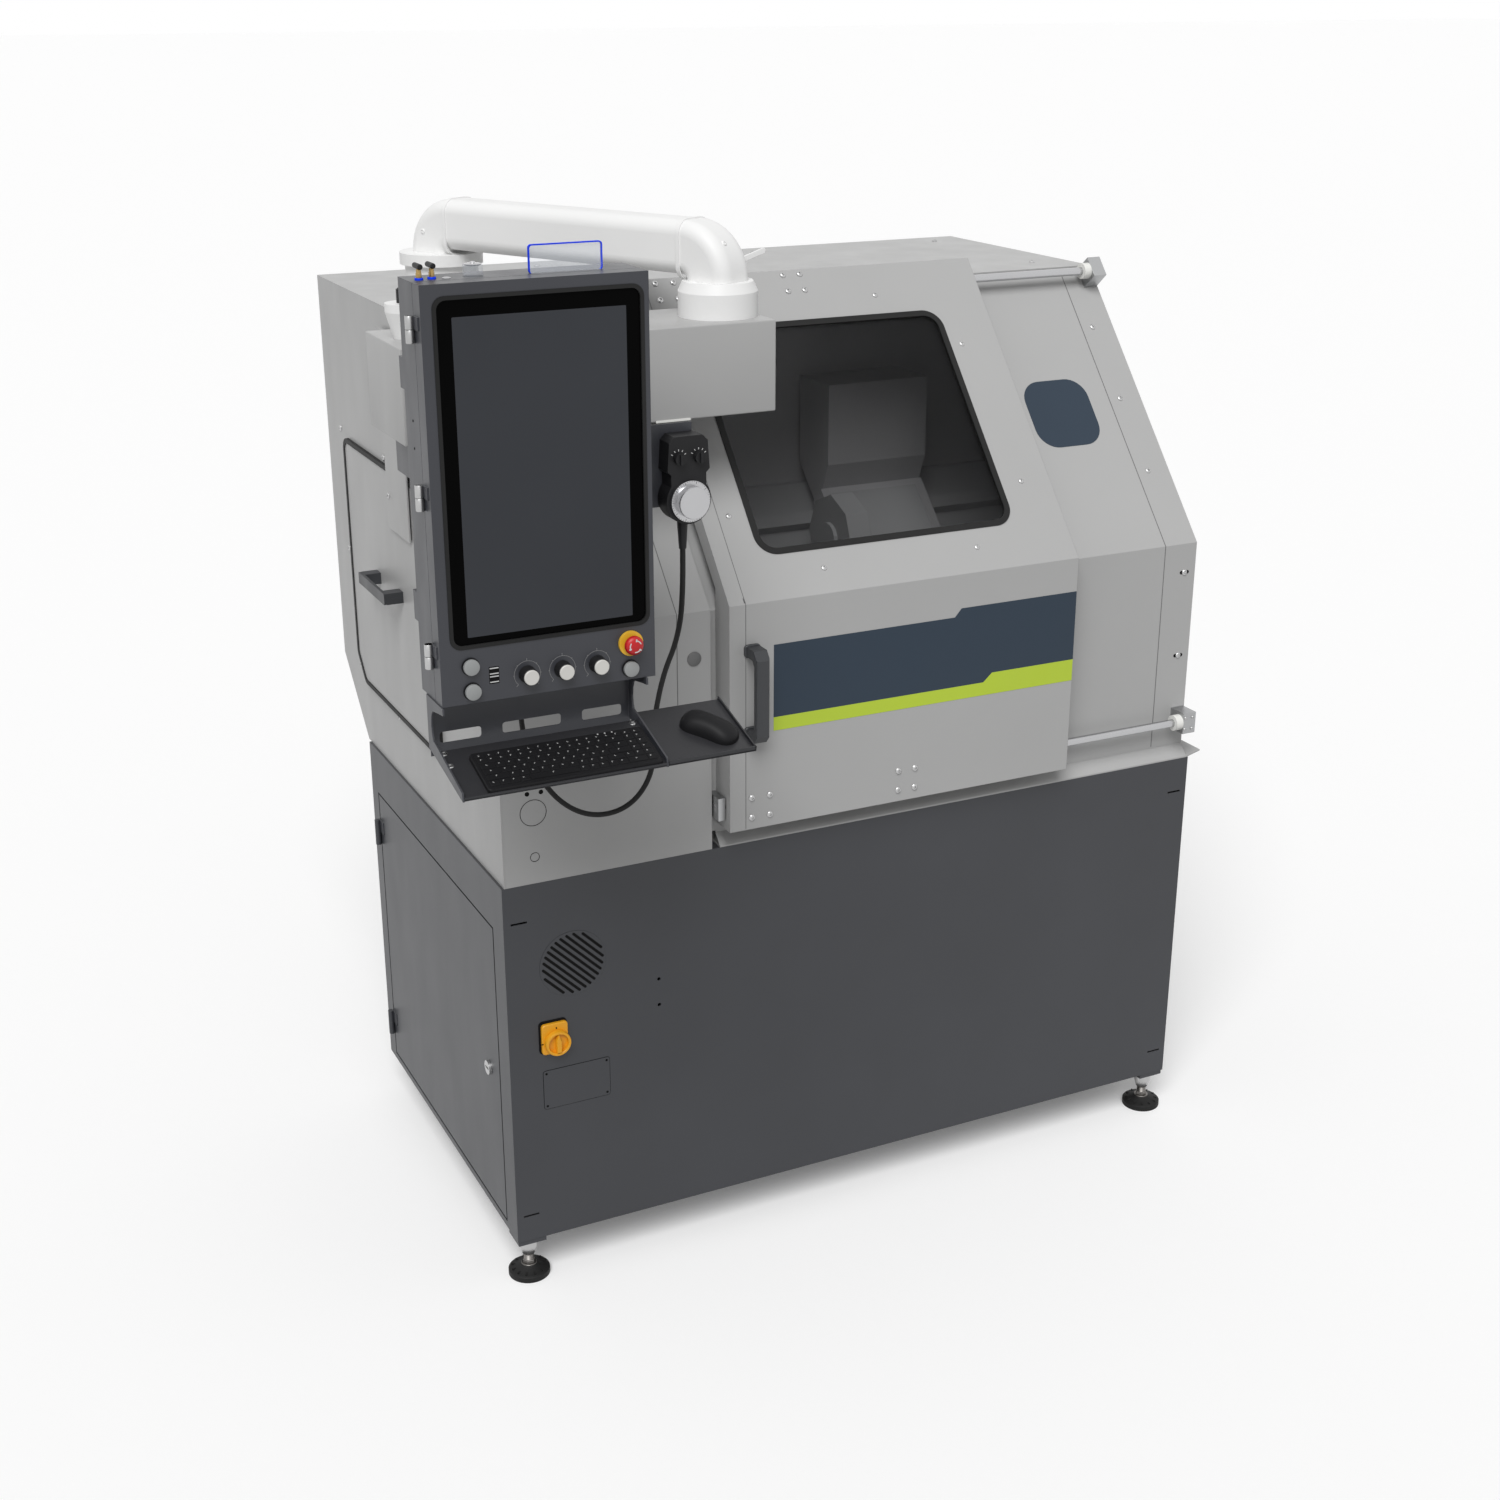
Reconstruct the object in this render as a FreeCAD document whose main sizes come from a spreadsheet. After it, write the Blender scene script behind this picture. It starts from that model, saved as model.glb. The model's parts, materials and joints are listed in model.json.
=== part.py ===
import FreeCAD, Part
import math
import os
import re
import Sketcher

# A turning lathe in a sheet metal enclosure, built as one parametric document.
# X runs to the right, Y to the back and Z up, all in millimetres.  Sizes along X
# are measured from the middle of the stand, along Y from the front of the stand
# and along Z from the floor; every piece is then moved so that the origin is the
# middle of the whole machine on the floor.

SIZES = {
    # stand
    "stand_width": 1500.0,
    "stand_depth": 831.0,
    "stand_base": 91.0,
    "stand_top": 829.0,
    "sheet": 3.0,
    "deck_thick": 6.0,
    "foot_inset": 30.0,
    "foot_radius": 40.0,
    "foot_height": 22.0,
    "spindle_radius": 10.0,
    "nut_radius": 17.0,
    "nut_height": 15.0,
    "vent_x": -620.0,
    "vent_z": 656.0,
    "vent_radius": 60.0,
    "vent_slot": 5.0,
    "vent_pitch": 10.0,
    "vent_lean": 35.0,
    "corner_slot_length": 31.0,
    "corner_slot_height": 4.0,
    "switch_left": -686.0,
    "switch_width": 52.0,
    "switch_base": 475.0,
    "switch_height": 65.0,
    "switch_knob_radius": 17.0,
    "cover_plate_width": 132.0,
    "cover_plate_base": 366.0,
    "cover_plate_height": 80.0,
    # side door of the stand
    "side_door_front": 62.0,
    "side_door_back": 785.0,
    "side_door_base": 108.0,
    "side_door_top": 726.0,
    "side_door_depth": 20.0,
    "side_door_gap": 2.0,
    "hinge_radius": 6.0,
    "hinge_gap": 0.5,
    "side_hinge_length": 56.0,
    "side_hinge_low": 157.0,
    "side_hinge_high": 612.0,
    "split_gap": 0.4,
    "lock_y": 122.0,
    "lock_z": 410.0,
    "lock_radius": 14.0,
    # enclosure
    "enclosure_left": -745.0,
    "enclosure_right": 745.0,
    "enclosure_back": 1000.0,
    "roof_top": 1778.0,
    "rear_chamfer_z": 980.0,
    "rear_chamfer": 151.0,
    "cover_crease_z": 1291.0,
    "cover_slope": 47.6,
    "cover_right": -338.0,
    "wall_front": 20.0,
    "wall_lift": 24.0,
    "wall_crease_z": 1283.0,
    "wall_slope": 49.35,
    "strip_left": 668.0,
    "opening_left": -300.0,
    "opening_right": 395.0,
    "opening_base": 945.0,
    "opening_top": 1735.0,
    "pan_left": -322.0,
    "pan_back": 840.0,
    "drip_right": 779.0,
    "drip_rise": 9.0,
    "chamber_back": 700.0,
    # hatch and plate on the left wall
    "hatch_front": 324.0,
    "hatch_back": 860.0,
    "hatch_top": 1468.0,
    "hatch_base": 972.0,
    "hatch_thick": 5.0,
    "hatch_handle_y": 592.0,
    "hatch_handle_z": 1233.0,
    "hatch_handle_length": 174.0,
    "hatch_handle_out": 38.0,
    "side_plate_front": 420.0,
    "side_plate_back": 552.0,
    "side_plate_base": 1360.0,
    "side_plate_top": 1740.0,
    # sliding door
    "door_left": -320.0,
    "door_right": 418.0,
    "door_front": -40.0,
    "door_lift": 17.0,
    "door_crease_z": 1305.0,
    "door_top": 1815.0,
    "door_flange": 20.0,
    "window_left": -232.0,
    "window_width": 540.0,
    "window_start": 88.0,
    "window_length": 473.0,
    "window_corner": 40.0,
    "seal_width": 12.0,
    "glass_thick": 5.0,
    "handle_x": -276.0,
    "handle_base": 1054.0,
    "handle_length": 174.0,
    "handle_width": 26.0,
    "handle_out": 48.0,
    "handle_bar": 12.0,
    # rails of the sliding door
    "rail_radius": 8.0,
    "rail_left": -336.0,
    "rail_right": 745.0,
    "rail_depth": 31.0,
    "low_rail_lift": 42.0,
    "high_rail_along": 643.0,
    "clamp_left": 712.0,
    "clamp_width": 30.0,
    "clamp_span": 44.0,
    "clamp_out": 44.0,
    "end_clamp_width": 14.0,
    "bumper_radius": 16.0,
    "bumper_length": 16.0,
    "bearing_width": 60.0,
    "bearing_span": 46.0,
    "bearing_depth": 48.0,
    "bearing_first": 68.0,
    "bearing_pitch": 282.0,
    "bore_gap": 0.3,
    # arm on the roof
    "arm_x": -575.0,
    "arm_y": 708.0,
    "arm_reach": 672.0,
    "arm_turn": -62.9,
    "pedestal_radius": 70.0,
    "pedestal_ring": 79.5,
    "ring_height": 22.0,
    "bevel_height": 17.0,
    "elbow_z": 1849.0,
    "elbow_gap": 8.0,
    "arm_height": 93.0,
    "arm_half_width": 42.0,
    "arm_round": 24.0,
    "elbow_radius": 62.0,
    # carrier box in front of the slope
    "carrier_left": -870.0,
    "carrier_right": -200.0,
    "carrier_front": 20.0,
    "carrier_depth": 195.0,
    "carrier_base": 1631.0,
    "carrier_top": 1789.0,
    "carrier_round": 14.0,
    "clamp_x": -831.0,
    "clamp_y": 118.0,
    "clamp_radius": 30.0,
    "clamp_stem": 43.0,
    "clamp_ring": 14.0,
    "lever_length": 62.0,
    "hanger_width": 50.0,
    "hanger_drop": 60.0,
    # console
    "console_left": -942.0,
    "console_right": -592.0,
    "console_base": 1310.0,
    "console_top": 1938.0,
    "console_front": -340.0,
    "console_split": -308.0,
    "console_back": -240.0,
    "console_hinge_length": 39.0,
    "control_strip": 90.0,
    "bezel_margin": 20.0,
    "bezel_hinge_margin": 20.0,
    "bezel_free_margin": 11.0,
    "bezel_corner": 15.0,
    "screen_margin": 26.0,
    "button_radius": 12.5,
    "button_out": 8.0,
    "button_gap": 0.3,
    "button_stem": 12.0,
    "dial_radius": 16.0,
    "dial_first": 137.0,
    "dial_pitch": 57.5,
    "dial_out": 20.0,
    "stop_radius": 15.0,
    "sign_width": 115.0,
    "sign_height": 41.0,
    # keyboard tray and mouse shelf
    "tray_left": -944.0,
    "tray_right": -596.0,
    "tray_front": -436.0,
    "tray_back": -185.0,
    "tray_top": 1190.0,
    "shelf_right": -412.0,
    "keyboard_x": -751.0,
    "keyboard_y": -340.0,
    "keyboard_length": 290.0,
    "keyboard_depth": 168.0,
    "keyboard_thick": 14.0,
    "keyboard_turn": -1.0,
    "mouse_x": -520.0,
    "mouse_y": -376.0,
    "mouse_length": 96.0,
    "mouse_width": 58.0,
    "mouse_height": 32.0,
    # hand pendant
    "pendant_x": -512.0,
    "pendant_width": 72.0,
    "pendant_base": 1537.0,
    "pendant_height": 140.0,
    "pendant_back": -263.0,
    "pendant_depth": 36.0,
    "wheel_radius": 33.0,
    "wheel_out": 22.0,
    "wheel_z": 1575.0,
    "cable_radius": 4.5,
    # turning parts inside the chamber
    "bed_front": 260.0,
    "bed_rise": 69.0,
    "bed_run": 420.0,
    "guide_left": -150.0,
    "guide_length": 850.0,
    "guide_width": 30.0,
    "guide_height": 25.0,
    "guide_low": 170.0,
    "guide_high": 480.0,
    "spindle_back": 70.0,
    "spindle_rise": 230.0,
    "nose_radius": 55.0,
    "chuck_radius": 85.0,
    "chuck_width": 62.0,
    "chuck_bore": 21.0,
    "headstock_width": 100.0,
    "headstock_side": 240.0,
    "slide_left": 190.0,
    "slide_width": 245.0,
    "slide_up": 150.0,
    "slide_length": 380.0,
    "slide_thick": 50.0,
    "cover_y": 560.0,
    "cover_low": 1383.0,
    "cover_high": 1551.0,
    "cross_up": 260.0,
    "cross_length": 230.0,
    "cross_thick": 45.0,
    "turret_up": 375.0,
    "turret_radius": 92.0,
    "turret_width": 50.0,
}

doc = FreeCAD.newDocument("TurningLathe")
sheet = doc.addObject("Spreadsheet::Sheet", "Sizes")
for row, (name, value) in enumerate(SIZES.items(), start=1):
    sheet.set("A%d" % row, name)
    sheet.set("B%d" % row, str(value))
    sheet.setAlias("B%d" % row, name)
doc.recompute()

X = FreeCAD.Vector(1, 0, 0)
Y = FreeCAD.Vector(0, 1, 0)
Z = FreeCAD.Vector(0, 0, 1)
ALONG = {"x": FreeCAD.Rotation(Y, 90), "y": FreeCAD.Rotation(X, -90), "z": FreeCAD.Rotation()}
WORD = re.compile(r"\b[a-z][a-z_0-9]*\b")

# The middle of the machine, taken from the pieces that reach furthest out.
MIDDLE_X = "(drip_right + console_left - hinge_gap - 2 * hinge_radius) / 2"
MIDDLE_Y = "(enclosure_back + tray_front) / 2"

nodes = {}


def named(text):
    """The expression with every size read from the sheet."""
    return WORD.sub(lambda word: "Sizes." * (word.group() in SIZES) + word.group(), str(text))


def amount(text):
    """The present value of an expression over the sheet."""
    return float(sheet.evalExpression(named(text)))


def place(piece, corner, lean=None, axis=X):
    """Puts a piece at a corner given by expressions, leaning about an axis when asked."""
    if lean is not None:
        piece.Placement = FreeCAD.Placement(FreeCAD.Vector(), FreeCAD.Rotation(axis, amount(lean)))
        piece.setExpression("Placement.Rotation.Angle", named(lean))
    piece.setExpression("Placement.Base.x", named("(%s) - %s" % (corner[0], MIDDLE_X)))
    piece.setExpression("Placement.Base.y", named("(%s) - %s" % (corner[1], MIDDLE_Y)))
    piece.setExpression("Placement.Base.z", named(corner[2]))
    return piece


def box(name, corner, size, lean=None, axis=X):
    """A block from its lower left front corner and its three sizes."""
    piece = doc.addObject("Part::Box", name)
    piece.setExpression("Length", named(size[0]))
    piece.setExpression("Width", named(size[1]))
    piece.setExpression("Height", named(size[2]))
    return place(piece, corner, lean, axis)


def rod(name, start, radius, length, along="z"):
    """A round bar that starts at a point and runs along X, Y or Z."""
    piece = doc.addObject("Part::Cylinder", name)
    piece.setExpression("Radius", named(radius))
    piece.setExpression("Height", named(length))
    piece.Placement = FreeCAD.Placement(FreeCAD.Vector(), ALONG[along])
    return place(piece, start)


def taper(name, start, low, high, length, along="z"):
    """A cone between two radii."""
    piece = doc.addObject("Part::Cone", name)
    piece.setExpression("Radius1", named(low))
    piece.setExpression("Radius2", named(high))
    piece.setExpression("Height", named(length))
    piece.Placement = FreeCAD.Placement(FreeCAD.Vector(), ALONG[along])
    return place(piece, start)


def prism(name, start, radius, length, sides, along="z"):
    """A bar with flat sides that runs along X, Y or Z; the radius reaches its corners."""
    piece = doc.addObject("Part::Prism", name)
    piece.Polygon = sides
    piece.setExpression("Circumradius", named(radius))
    piece.setExpression("Height", named(length))
    piece.Placement = FreeCAD.Placement(FreeCAD.Vector(), ALONG[along])
    return place(piece, start)


def join(name, *pieces):
    """Several pieces as one."""
    piece = doc.addObject("Part::MultiFuse", name)
    piece.Shapes = list(pieces)
    piece.Refine = True
    return piece


def cut(name, base, *tools):
    """A piece with other pieces taken out of it."""
    piece = doc.addObject("Part::Cut", name)
    piece.Base = base
    if len(tools) == 1:
        piece.Tool = tools[0]
    else:
        all_tools = doc.addObject("Part::MultiFuse", name + "_tools")
        all_tools.Shapes = list(tools)
        piece.Tool = all_tools
    piece.Refine = True
    return piece


def group(name, *pieces):
    """Separate solids kept under one name."""
    piece = doc.addObject("Part::Compound", name)
    piece.Links = list(pieces)
    return piece


def outline(body, name, plane, points):
    """A closed polygon on an origin plane of the body, every corner bound to the sheet."""
    sketch = body.newObject("Sketcher::SketchObject", name)
    for feature in body.Origin.OriginFeatures:
        if feature.Role == plane + "_Plane":
            sketch.AttachmentSupport = [(feature, "")]
    sketch.MapMode = "FlatFace"
    spots = [FreeCAD.Vector(amount(across), amount(up), 0) for across, up in points]
    count = len(points)
    for index in range(count):
        line = Part.LineSegment(spots[index], spots[(index + 1) % count])
        sketch.addGeometry(line, False)
    for index in range(count):
        sketch.addConstraint(Sketcher.Constraint("Coincident", index, 2, (index + 1) % count, 1))
    for index, (across, up) in enumerate(points):
        for kind, text, value in (("DistanceX", across, spots[index].x), ("DistanceY", up, spots[index].y)):
            number = sketch.addConstraint(Sketcher.Constraint(kind, -1, 1, index, 1, value))
            sketch.setExpression("Constraints[%d]" % number, named(text))
    return sketch


def plate(name, plane, points, thick, corner=("0", "0", "0"), lean=None, axis=X):
    """A polygon raised to a plate: YZ grows along +X, XZ along +Y, XY along +Z."""
    body = doc.addObject("PartDesign::Body", name)
    sketch = outline(body, name + "_outline", plane, points)
    pad = body.newObject("PartDesign::Pad", name + "_pad")
    pad.Profile = sketch
    pad.Reversed = plane == "XZ"
    pad.setExpression("Length", named(thick))
    return place(body, corner, lean, axis)


def round_edges(body, name, radius, wanted):
    """Rounds the edges of the last feature of a body that a test picks out."""
    doc.recompute()
    last = body.Tip
    picked = ["Edge%d" % (index + 1) for index, edge in enumerate(last.Shape.Edges) if wanted(edge)]
    fillet = body.newObject("PartDesign::Fillet", name)
    fillet.Base = (last, picked)
    fillet.setExpression("Radius", named(radius))
    return body


def runs_along(direction):
    """A test for straight edges that run one way."""
    return lambda edge: abs(edge.tangentAt(edge.FirstParameter).dot(direction)) > 0.999


def rounded(name, corner, size, radius, along, lean=None, axis=X):
    """A block with its four edges along one axis rounded."""
    plane, sides, thick, direction = {
        "x": ("YZ", (size[1], size[2]), size[0], X),
        "y": ("XZ", (size[0], size[2]), size[1], Y),
        "z": ("XY", (size[0], size[1]), size[2], Z),
    }[along]
    points = [("0", "0"), (sides[0], "0"), (sides[0], sides[1]), ("0", sides[1])]
    body = plate(name, plane, points, thick, corner, lean, axis)
    return round_edges(body, name + "_round", radius, runs_along(direction))


def bent(front, base, crease, top, slope, thick):
    """Corners of a sheet that stands upright and then leans back at a slope, cut level at the top."""
    reach = "%s + (%s - %s) / tan(%s)" % (front, top, crease, slope)
    inner = "%s - %s * (1 - sin(%s)) / cos(%s)" % (crease, thick, slope, slope)
    return [
        (front, base),
        (front, crease),
        (reach, top),
        ("%s + %s / sin(%s)" % (reach, thick, slope), top),
        ("%s + %s" % (front, thick), inner),
        ("%s + %s" % (front, thick), base),
    ]


def on_slope(front, crease, along, out):
    """Y and Z of a point on a leaning sheet, so far up it and so far out from its face."""
    y = "%s + (%s) * cos(wall_slope) - (%s) * sin(wall_slope)" % (front, along, out)
    z = "%s + (%s) * sin(wall_slope) + (%s) * cos(wall_slope)" % (crease, along, out)
    return y, z


def keep(name, piece):
    """Marks a finished sub-part; its label is the name of its file and node."""
    piece.Label = name
    nodes[name] = piece
    return piece


# ------------------------------------------------------------------ the stand
STAND_LEFT = "-stand_width / 2"
STAND_RISE = "stand_top - stand_base"
SIDE_DEPTH = "stand_depth - 2 * sheet"


def stand_front_panel():
    face = box("front_face", (STAND_LEFT, "0", "stand_base"), ("stand_width", "sheet", STAND_RISE))
    tools = [rod("vent_hole", ("vent_x", "-1", "vent_z"), "vent_radius - 6", "sheet + 2", "y")]
    for number, drop in enumerate((71, 125)):
        start = ("-450", "-1", "vent_z - %d" % drop)
        tools.append(rod("screw_hole_%d" % number, start, "3.5", "sheet + 2", "y"))
    for number, up in enumerate(("stand_top - 75", "stand_base + 52")):
        right = "stand_width / 2 - 14 - corner_slot_length"
        for side, start in (("left", STAND_LEFT + " + 14"), ("right", right)):
            size = ("corner_slot_length", "sheet + 2", "corner_slot_height")
            tools.append(box("corner_slot_%s_%d" % (side, number), (start, "-1", up), size))
    return cut("front_panel", face, *tools)


def stand_side_panel(name, left):
    return box(name, (left, "sheet", "stand_base"), ("sheet", SIDE_DEPTH, STAND_RISE))


def stand_left_panel():
    wall = stand_side_panel("left_wall_sheet", STAND_LEFT)
    corner = (STAND_LEFT + " - 1", "side_door_front - side_door_gap", "side_door_base - side_door_gap")
    size = (
        "sheet + 2",
        "side_door_back - side_door_front + 2 * side_door_gap",
        "side_door_top - side_door_base + 2 * side_door_gap",
    )
    return cut("left_panel", wall, box("side_door_hole", corner, size))


def stand_deck(name, base):
    corner = (STAND_LEFT + " + sheet", "sheet", base)
    return box(name, corner, ("stand_width - 2 * sheet", SIDE_DEPTH, "deck_thick"))


def at_feet(make):
    """Repeats one piece at the four corners of the stand."""
    pieces = []
    for side, x in (("left", STAND_LEFT + " + foot_inset"), ("right", "stand_width / 2 - foot_inset")):
        for end, y in (("front", "foot_inset"), ("rear", "stand_depth - foot_inset")):
            pieces.append(make(side + "_" + end, x, y))
    return pieces


def foot_pad(tag, x, y):
    foot = prism("pad_" + tag, (x, y, "0"), "foot_radius", "foot_height - 6", 24)
    crown = prism("pad_crown_" + tag, (x, y, "foot_height - 6"), "foot_radius - 8", "6", 24)
    return join("foot_pad_" + tag, foot, crown)


def foot_spindle(tag, x, y):
    shank = rod("shank_" + tag, (x, y, "foot_height"), "spindle_radius", "stand_base - foot_height")
    nut = prism("nut_" + tag, (x, y, "stand_base - nut_height"), "nut_radius", "nut_height", 6)
    return join("foot_spindle_" + tag, shank, nut)


def vent_grille():
    disc = rod("vent_disc", ("vent_x", "-2", "vent_z"), "vent_radius", "2", "y")
    tools = []
    for number in range(-4, 5):
        half = "sqrt((vent_radius - 10)^2 - (%d * vent_pitch)^2)" % number
        across = "vent_x - %s * cos(vent_lean) - (%d * vent_pitch - vent_slot / 2) * sin(vent_lean)"
        up = "vent_z + %s * sin(vent_lean) + (%d * vent_pitch - vent_slot / 2) * cos(vent_lean)"
        corner = (across % (half, number), "-3", up % ("-" + half, number))
        size = ("2 * " + half, "4", "vent_slot")
        tools.append(box("vent_slot_%d" % (number + 4), corner, size, "-vent_lean", Y))
    return cut("vent_louvre", disc, *tools)


def switch_plate():
    corner = ("switch_left", "-3", "switch_base")
    base = rounded("switch_base_plate", corner, ("switch_width", "3", "switch_height"), "5", "y")
    middle = ("switch_left + switch_width / 2", "-9", "switch_base + switch_height / 2")
    return join("switch_body", base, rod("switch_collar", middle, "switch_knob_radius + 4", "6", "y"))


def switch_knob():
    x = "switch_left + switch_width / 2"
    z = "switch_base + switch_height / 2"
    drum = rod("switch_drum", (x, "-24", z), "switch_knob_radius", "14.7", "y")
    corner = (x + " - 4.5", "-36", z + " - switch_knob_radius")
    grip = rounded("switch_grip", corner, ("9", "14", "2 * switch_knob_radius"), "4", "y")
    return join("switch_handle", drum, grip)


def cover_plate():
    corner = ("switch_left", "-2", "cover_plate_base")
    return rounded("blank_plate", corner, ("cover_plate_width", "2", "cover_plate_height"), "8", "y")


def side_door():
    outer_size = ("side_door_depth", "side_door_back - side_door_front", "side_door_top - side_door_base")
    inner_size = (
        "side_door_depth",
        "side_door_back - side_door_front - 2 * sheet",
        "side_door_top - side_door_base - 2 * sheet",
    )
    outer = box("side_door_outer", (STAND_LEFT, "side_door_front", "side_door_base"), outer_size)
    corner = (STAND_LEFT + " + sheet", "side_door_front + sheet", "side_door_base + sheet")
    tray = cut("side_door_tray", outer, box("side_door_inner", corner, inner_size))
    pieces = [tray]
    for tag, start in (("low", "side_hinge_low"), ("high", "side_hinge_high")):
        up = start + " + side_hinge_length / 2 + split_gap"
        rise = "side_hinge_length / 2 - split_gap"
        axis = (STAND_LEFT + " - hinge_radius - hinge_gap", "side_door_back + side_door_gap", up)
        pieces.append(rod("side_knuckle_" + tag, axis, "hinge_radius", rise))
        leaf = (STAND_LEFT + " - 2", "side_door_back + side_door_gap - 26", up)
        pieces.append(box("side_leaf_" + tag, leaf, ("2", "26", rise)))
    return join("side_door_shell", *pieces)


def side_hinges():
    pieces = []
    for tag, start in (("low", "side_hinge_low"), ("high", "side_hinge_high")):
        axis = (STAND_LEFT + " - hinge_radius - hinge_gap", "side_door_back + side_door_gap", start)
        knuckle = rod("fixed_knuckle_" + tag, axis, "hinge_radius", "side_hinge_length / 2")
        leaf = box(
            "fixed_leaf_" + tag,
            (STAND_LEFT + " - 2", "side_door_back + side_door_gap", start),
            ("2", "24", "side_hinge_length / 2"),
        )
        pieces.append(join("fixed_hinge_" + tag, knuckle, leaf))
    return join("side_hinge_pair", *pieces)


def side_lock():
    face = rod("lock_face", (STAND_LEFT + " - 5", "lock_y", "lock_z"), "lock_radius", "5", "x")
    slot = box("lock_slot", (STAND_LEFT + " - 6", "lock_y - 9", "lock_z - 2"), ("4", "18", "4"))
    return cut("lock_insert", face, slot)


def stand_frame():
    """The right, rear, top and bottom plates, welded to one frame."""
    right = stand_side_panel("right_wall_sheet", "stand_width / 2 - sheet")
    corner = (STAND_LEFT, "stand_depth - sheet", "stand_base")
    rear = box("rear_sheet", corner, ("stand_width", "sheet", STAND_RISE))
    deck = stand_deck("deck_sheet", "stand_top - deck_thick")
    return join("frame_plates", right, rear, deck, stand_deck("floor_sheet", "stand_base"))


keep("stand_front_panel", stand_front_panel())
keep("stand_left_panel", join("left_panel_hinged", stand_left_panel(), side_hinges()))
keep("stand_frame", stand_frame())
keep("foot_pads", group("pads", *at_feet(foot_pad)))
keep("foot_spindles", group("spindles", *at_feet(foot_spindle)))
keep("stand_covers", group("cover_pair", vent_grille(), cover_plate()))
keep("switch_plate", switch_plate())
keep("switch_knob", switch_knob())
keep("stand_side_door", side_door())
keep("stand_door_lock", side_lock())

# -------------------------------------------------------------- the enclosure
CHAMBER_LEFT = "cover_right + sheet"
FLOOR_TOP = "stand_top + sheet"
WALL_BASE = "(stand_top + sheet + wall_lift)"
DOOR_BASE = "(stand_top + sheet + wall_lift + door_lift)"
LOW_RAIL_Z = "(stand_top + sheet + wall_lift + door_lift + low_rail_lift)"
BED_BASE = "(stand_top + sheet + bed_rise)"
SPINDLE_Y = "bed_front + spindle_back"
SPINDLE_Z = "%s + spindle_rise" % BED_BASE
INSIDE_WIDTH = "enclosure_right - enclosure_left - 2 * sheet"
ROOF_BASE = "roof_top - sheet"
COVER_TOP_Y = "(%s - cover_crease_z) / tan(cover_slope)" % ROOF_BASE
WALL_TOP_Y = "wall_front + (%s - wall_crease_z) / tan(wall_slope)" % ROOF_BASE
WALL_INNER_TOP_Y = WALL_TOP_Y + " + sheet / sin(wall_slope)"
WALL_INNER_Z = "wall_crease_z - sheet * (1 - sin(wall_slope)) / cos(wall_slope)"


def end_wall(name, left, front, crease, top_y, base):
    points = [
        (front, base),
        (front, crease),
        (top_y, ROOF_BASE),
        ("enclosure_back", ROOF_BASE),
        ("enclosure_back", "rear_chamfer_z"),
        ("enclosure_back - rear_chamfer - stand_top + %s" % base, base),
    ]
    return plate(name, "YZ", points, "sheet", (left, "0", "0"))


def headstock_cover():
    left = "enclosure_left + sheet"
    points = bent("0", "stand_top", "cover_crease_z", ROOF_BASE, "cover_slope", "sheet")
    skin = plate("cover_skin", "YZ", points, "cover_right - enclosure_left - sheet", (left, "0", "0"))
    edge = [
        ("0", "stand_top"),
        ("0", "cover_crease_z"),
        (COVER_TOP_Y, ROOF_BASE),
        (WALL_TOP_Y + " + 2", ROOF_BASE),
        ("wall_front + 2", "wall_crease_z"),
        ("wall_front + 2", "stand_top"),
    ]
    strip = plate("cover_return", "YZ", edge, "sheet", ("cover_right - sheet", "0", "0"))
    return join("cover_sheet", skin, strip)


def front_wall():
    points = bent("wall_front", WALL_BASE, "wall_crease_z", ROOF_BASE, "wall_slope", "sheet")
    skin = plate("wall_skin", "YZ", points, "strip_left - cover_right", ("cover_right", "0", "0"))
    low = "wall_front + (opening_top - wall_crease_z) / tan(wall_slope)"
    hole = [
        ("wall_front - 10", "opening_base"),
        ("wall_front - 10", "opening_top"),
        (low + " + 40", "opening_top"),
        ("wall_front + 40", "wall_crease_z - 30"),
        ("wall_front + 40", "opening_base"),
    ]
    tool = plate("wall_hole", "YZ", hole, "opening_right - opening_left", ("opening_left", "0", "0"))
    return cut("wall_sheet", skin, tool)


def corner_strip():
    points = bent("wall_front", WALL_BASE, "wall_crease_z", ROOF_BASE, "wall_slope", "sheet")
    return plate("strip_sheet", "YZ", points, "enclosure_right - strip_left", ("strip_left", "0", "0"))


def roof_panel():
    corner = ("enclosure_left", COVER_TOP_Y, ROOF_BASE)
    size = ("enclosure_right - enclosure_left", "enclosure_back - %s" % COVER_TOP_Y, "sheet")
    return box("roof_sheet", corner, size)


def rear_wall():
    lean = "sheet * 1.41421"
    points = [
        ("enclosure_back", ROOF_BASE),
        ("enclosure_back", "rear_chamfer_z"),
        ("enclosure_back - rear_chamfer", "rear_chamfer_z - rear_chamfer"),
        ("enclosure_back - rear_chamfer - " + lean, "rear_chamfer_z - rear_chamfer"),
        ("enclosure_back - sheet", "rear_chamfer_z + sheet - %s + 0.5" % lean),
        ("enclosure_back - sheet", ROOF_BASE),
    ]
    return plate("rear_fold", "YZ", points, INSIDE_WIDTH, ("enclosure_left + sheet", "0", "0"))


def bulkhead():
    points = [
        ("wall_front + sheet", FLOOR_TOP),
        ("wall_front + sheet", WALL_INNER_Z),
        (WALL_INNER_TOP_Y, ROOF_BASE),
        ("chamber_back", ROOF_BASE),
        ("chamber_back", FLOOR_TOP),
    ]
    wall = plate("bulkhead_sheet", "YZ", points, "sheet", ("cover_right", "0", "0"))
    start = ("cover_right - 1", SPINDLE_Y, SPINDLE_Z)
    hole = rod("bulkhead_hole", start, "nose_radius + 6", "sheet + 2", "x")
    return cut("bulkhead_wall", wall, hole)


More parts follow.
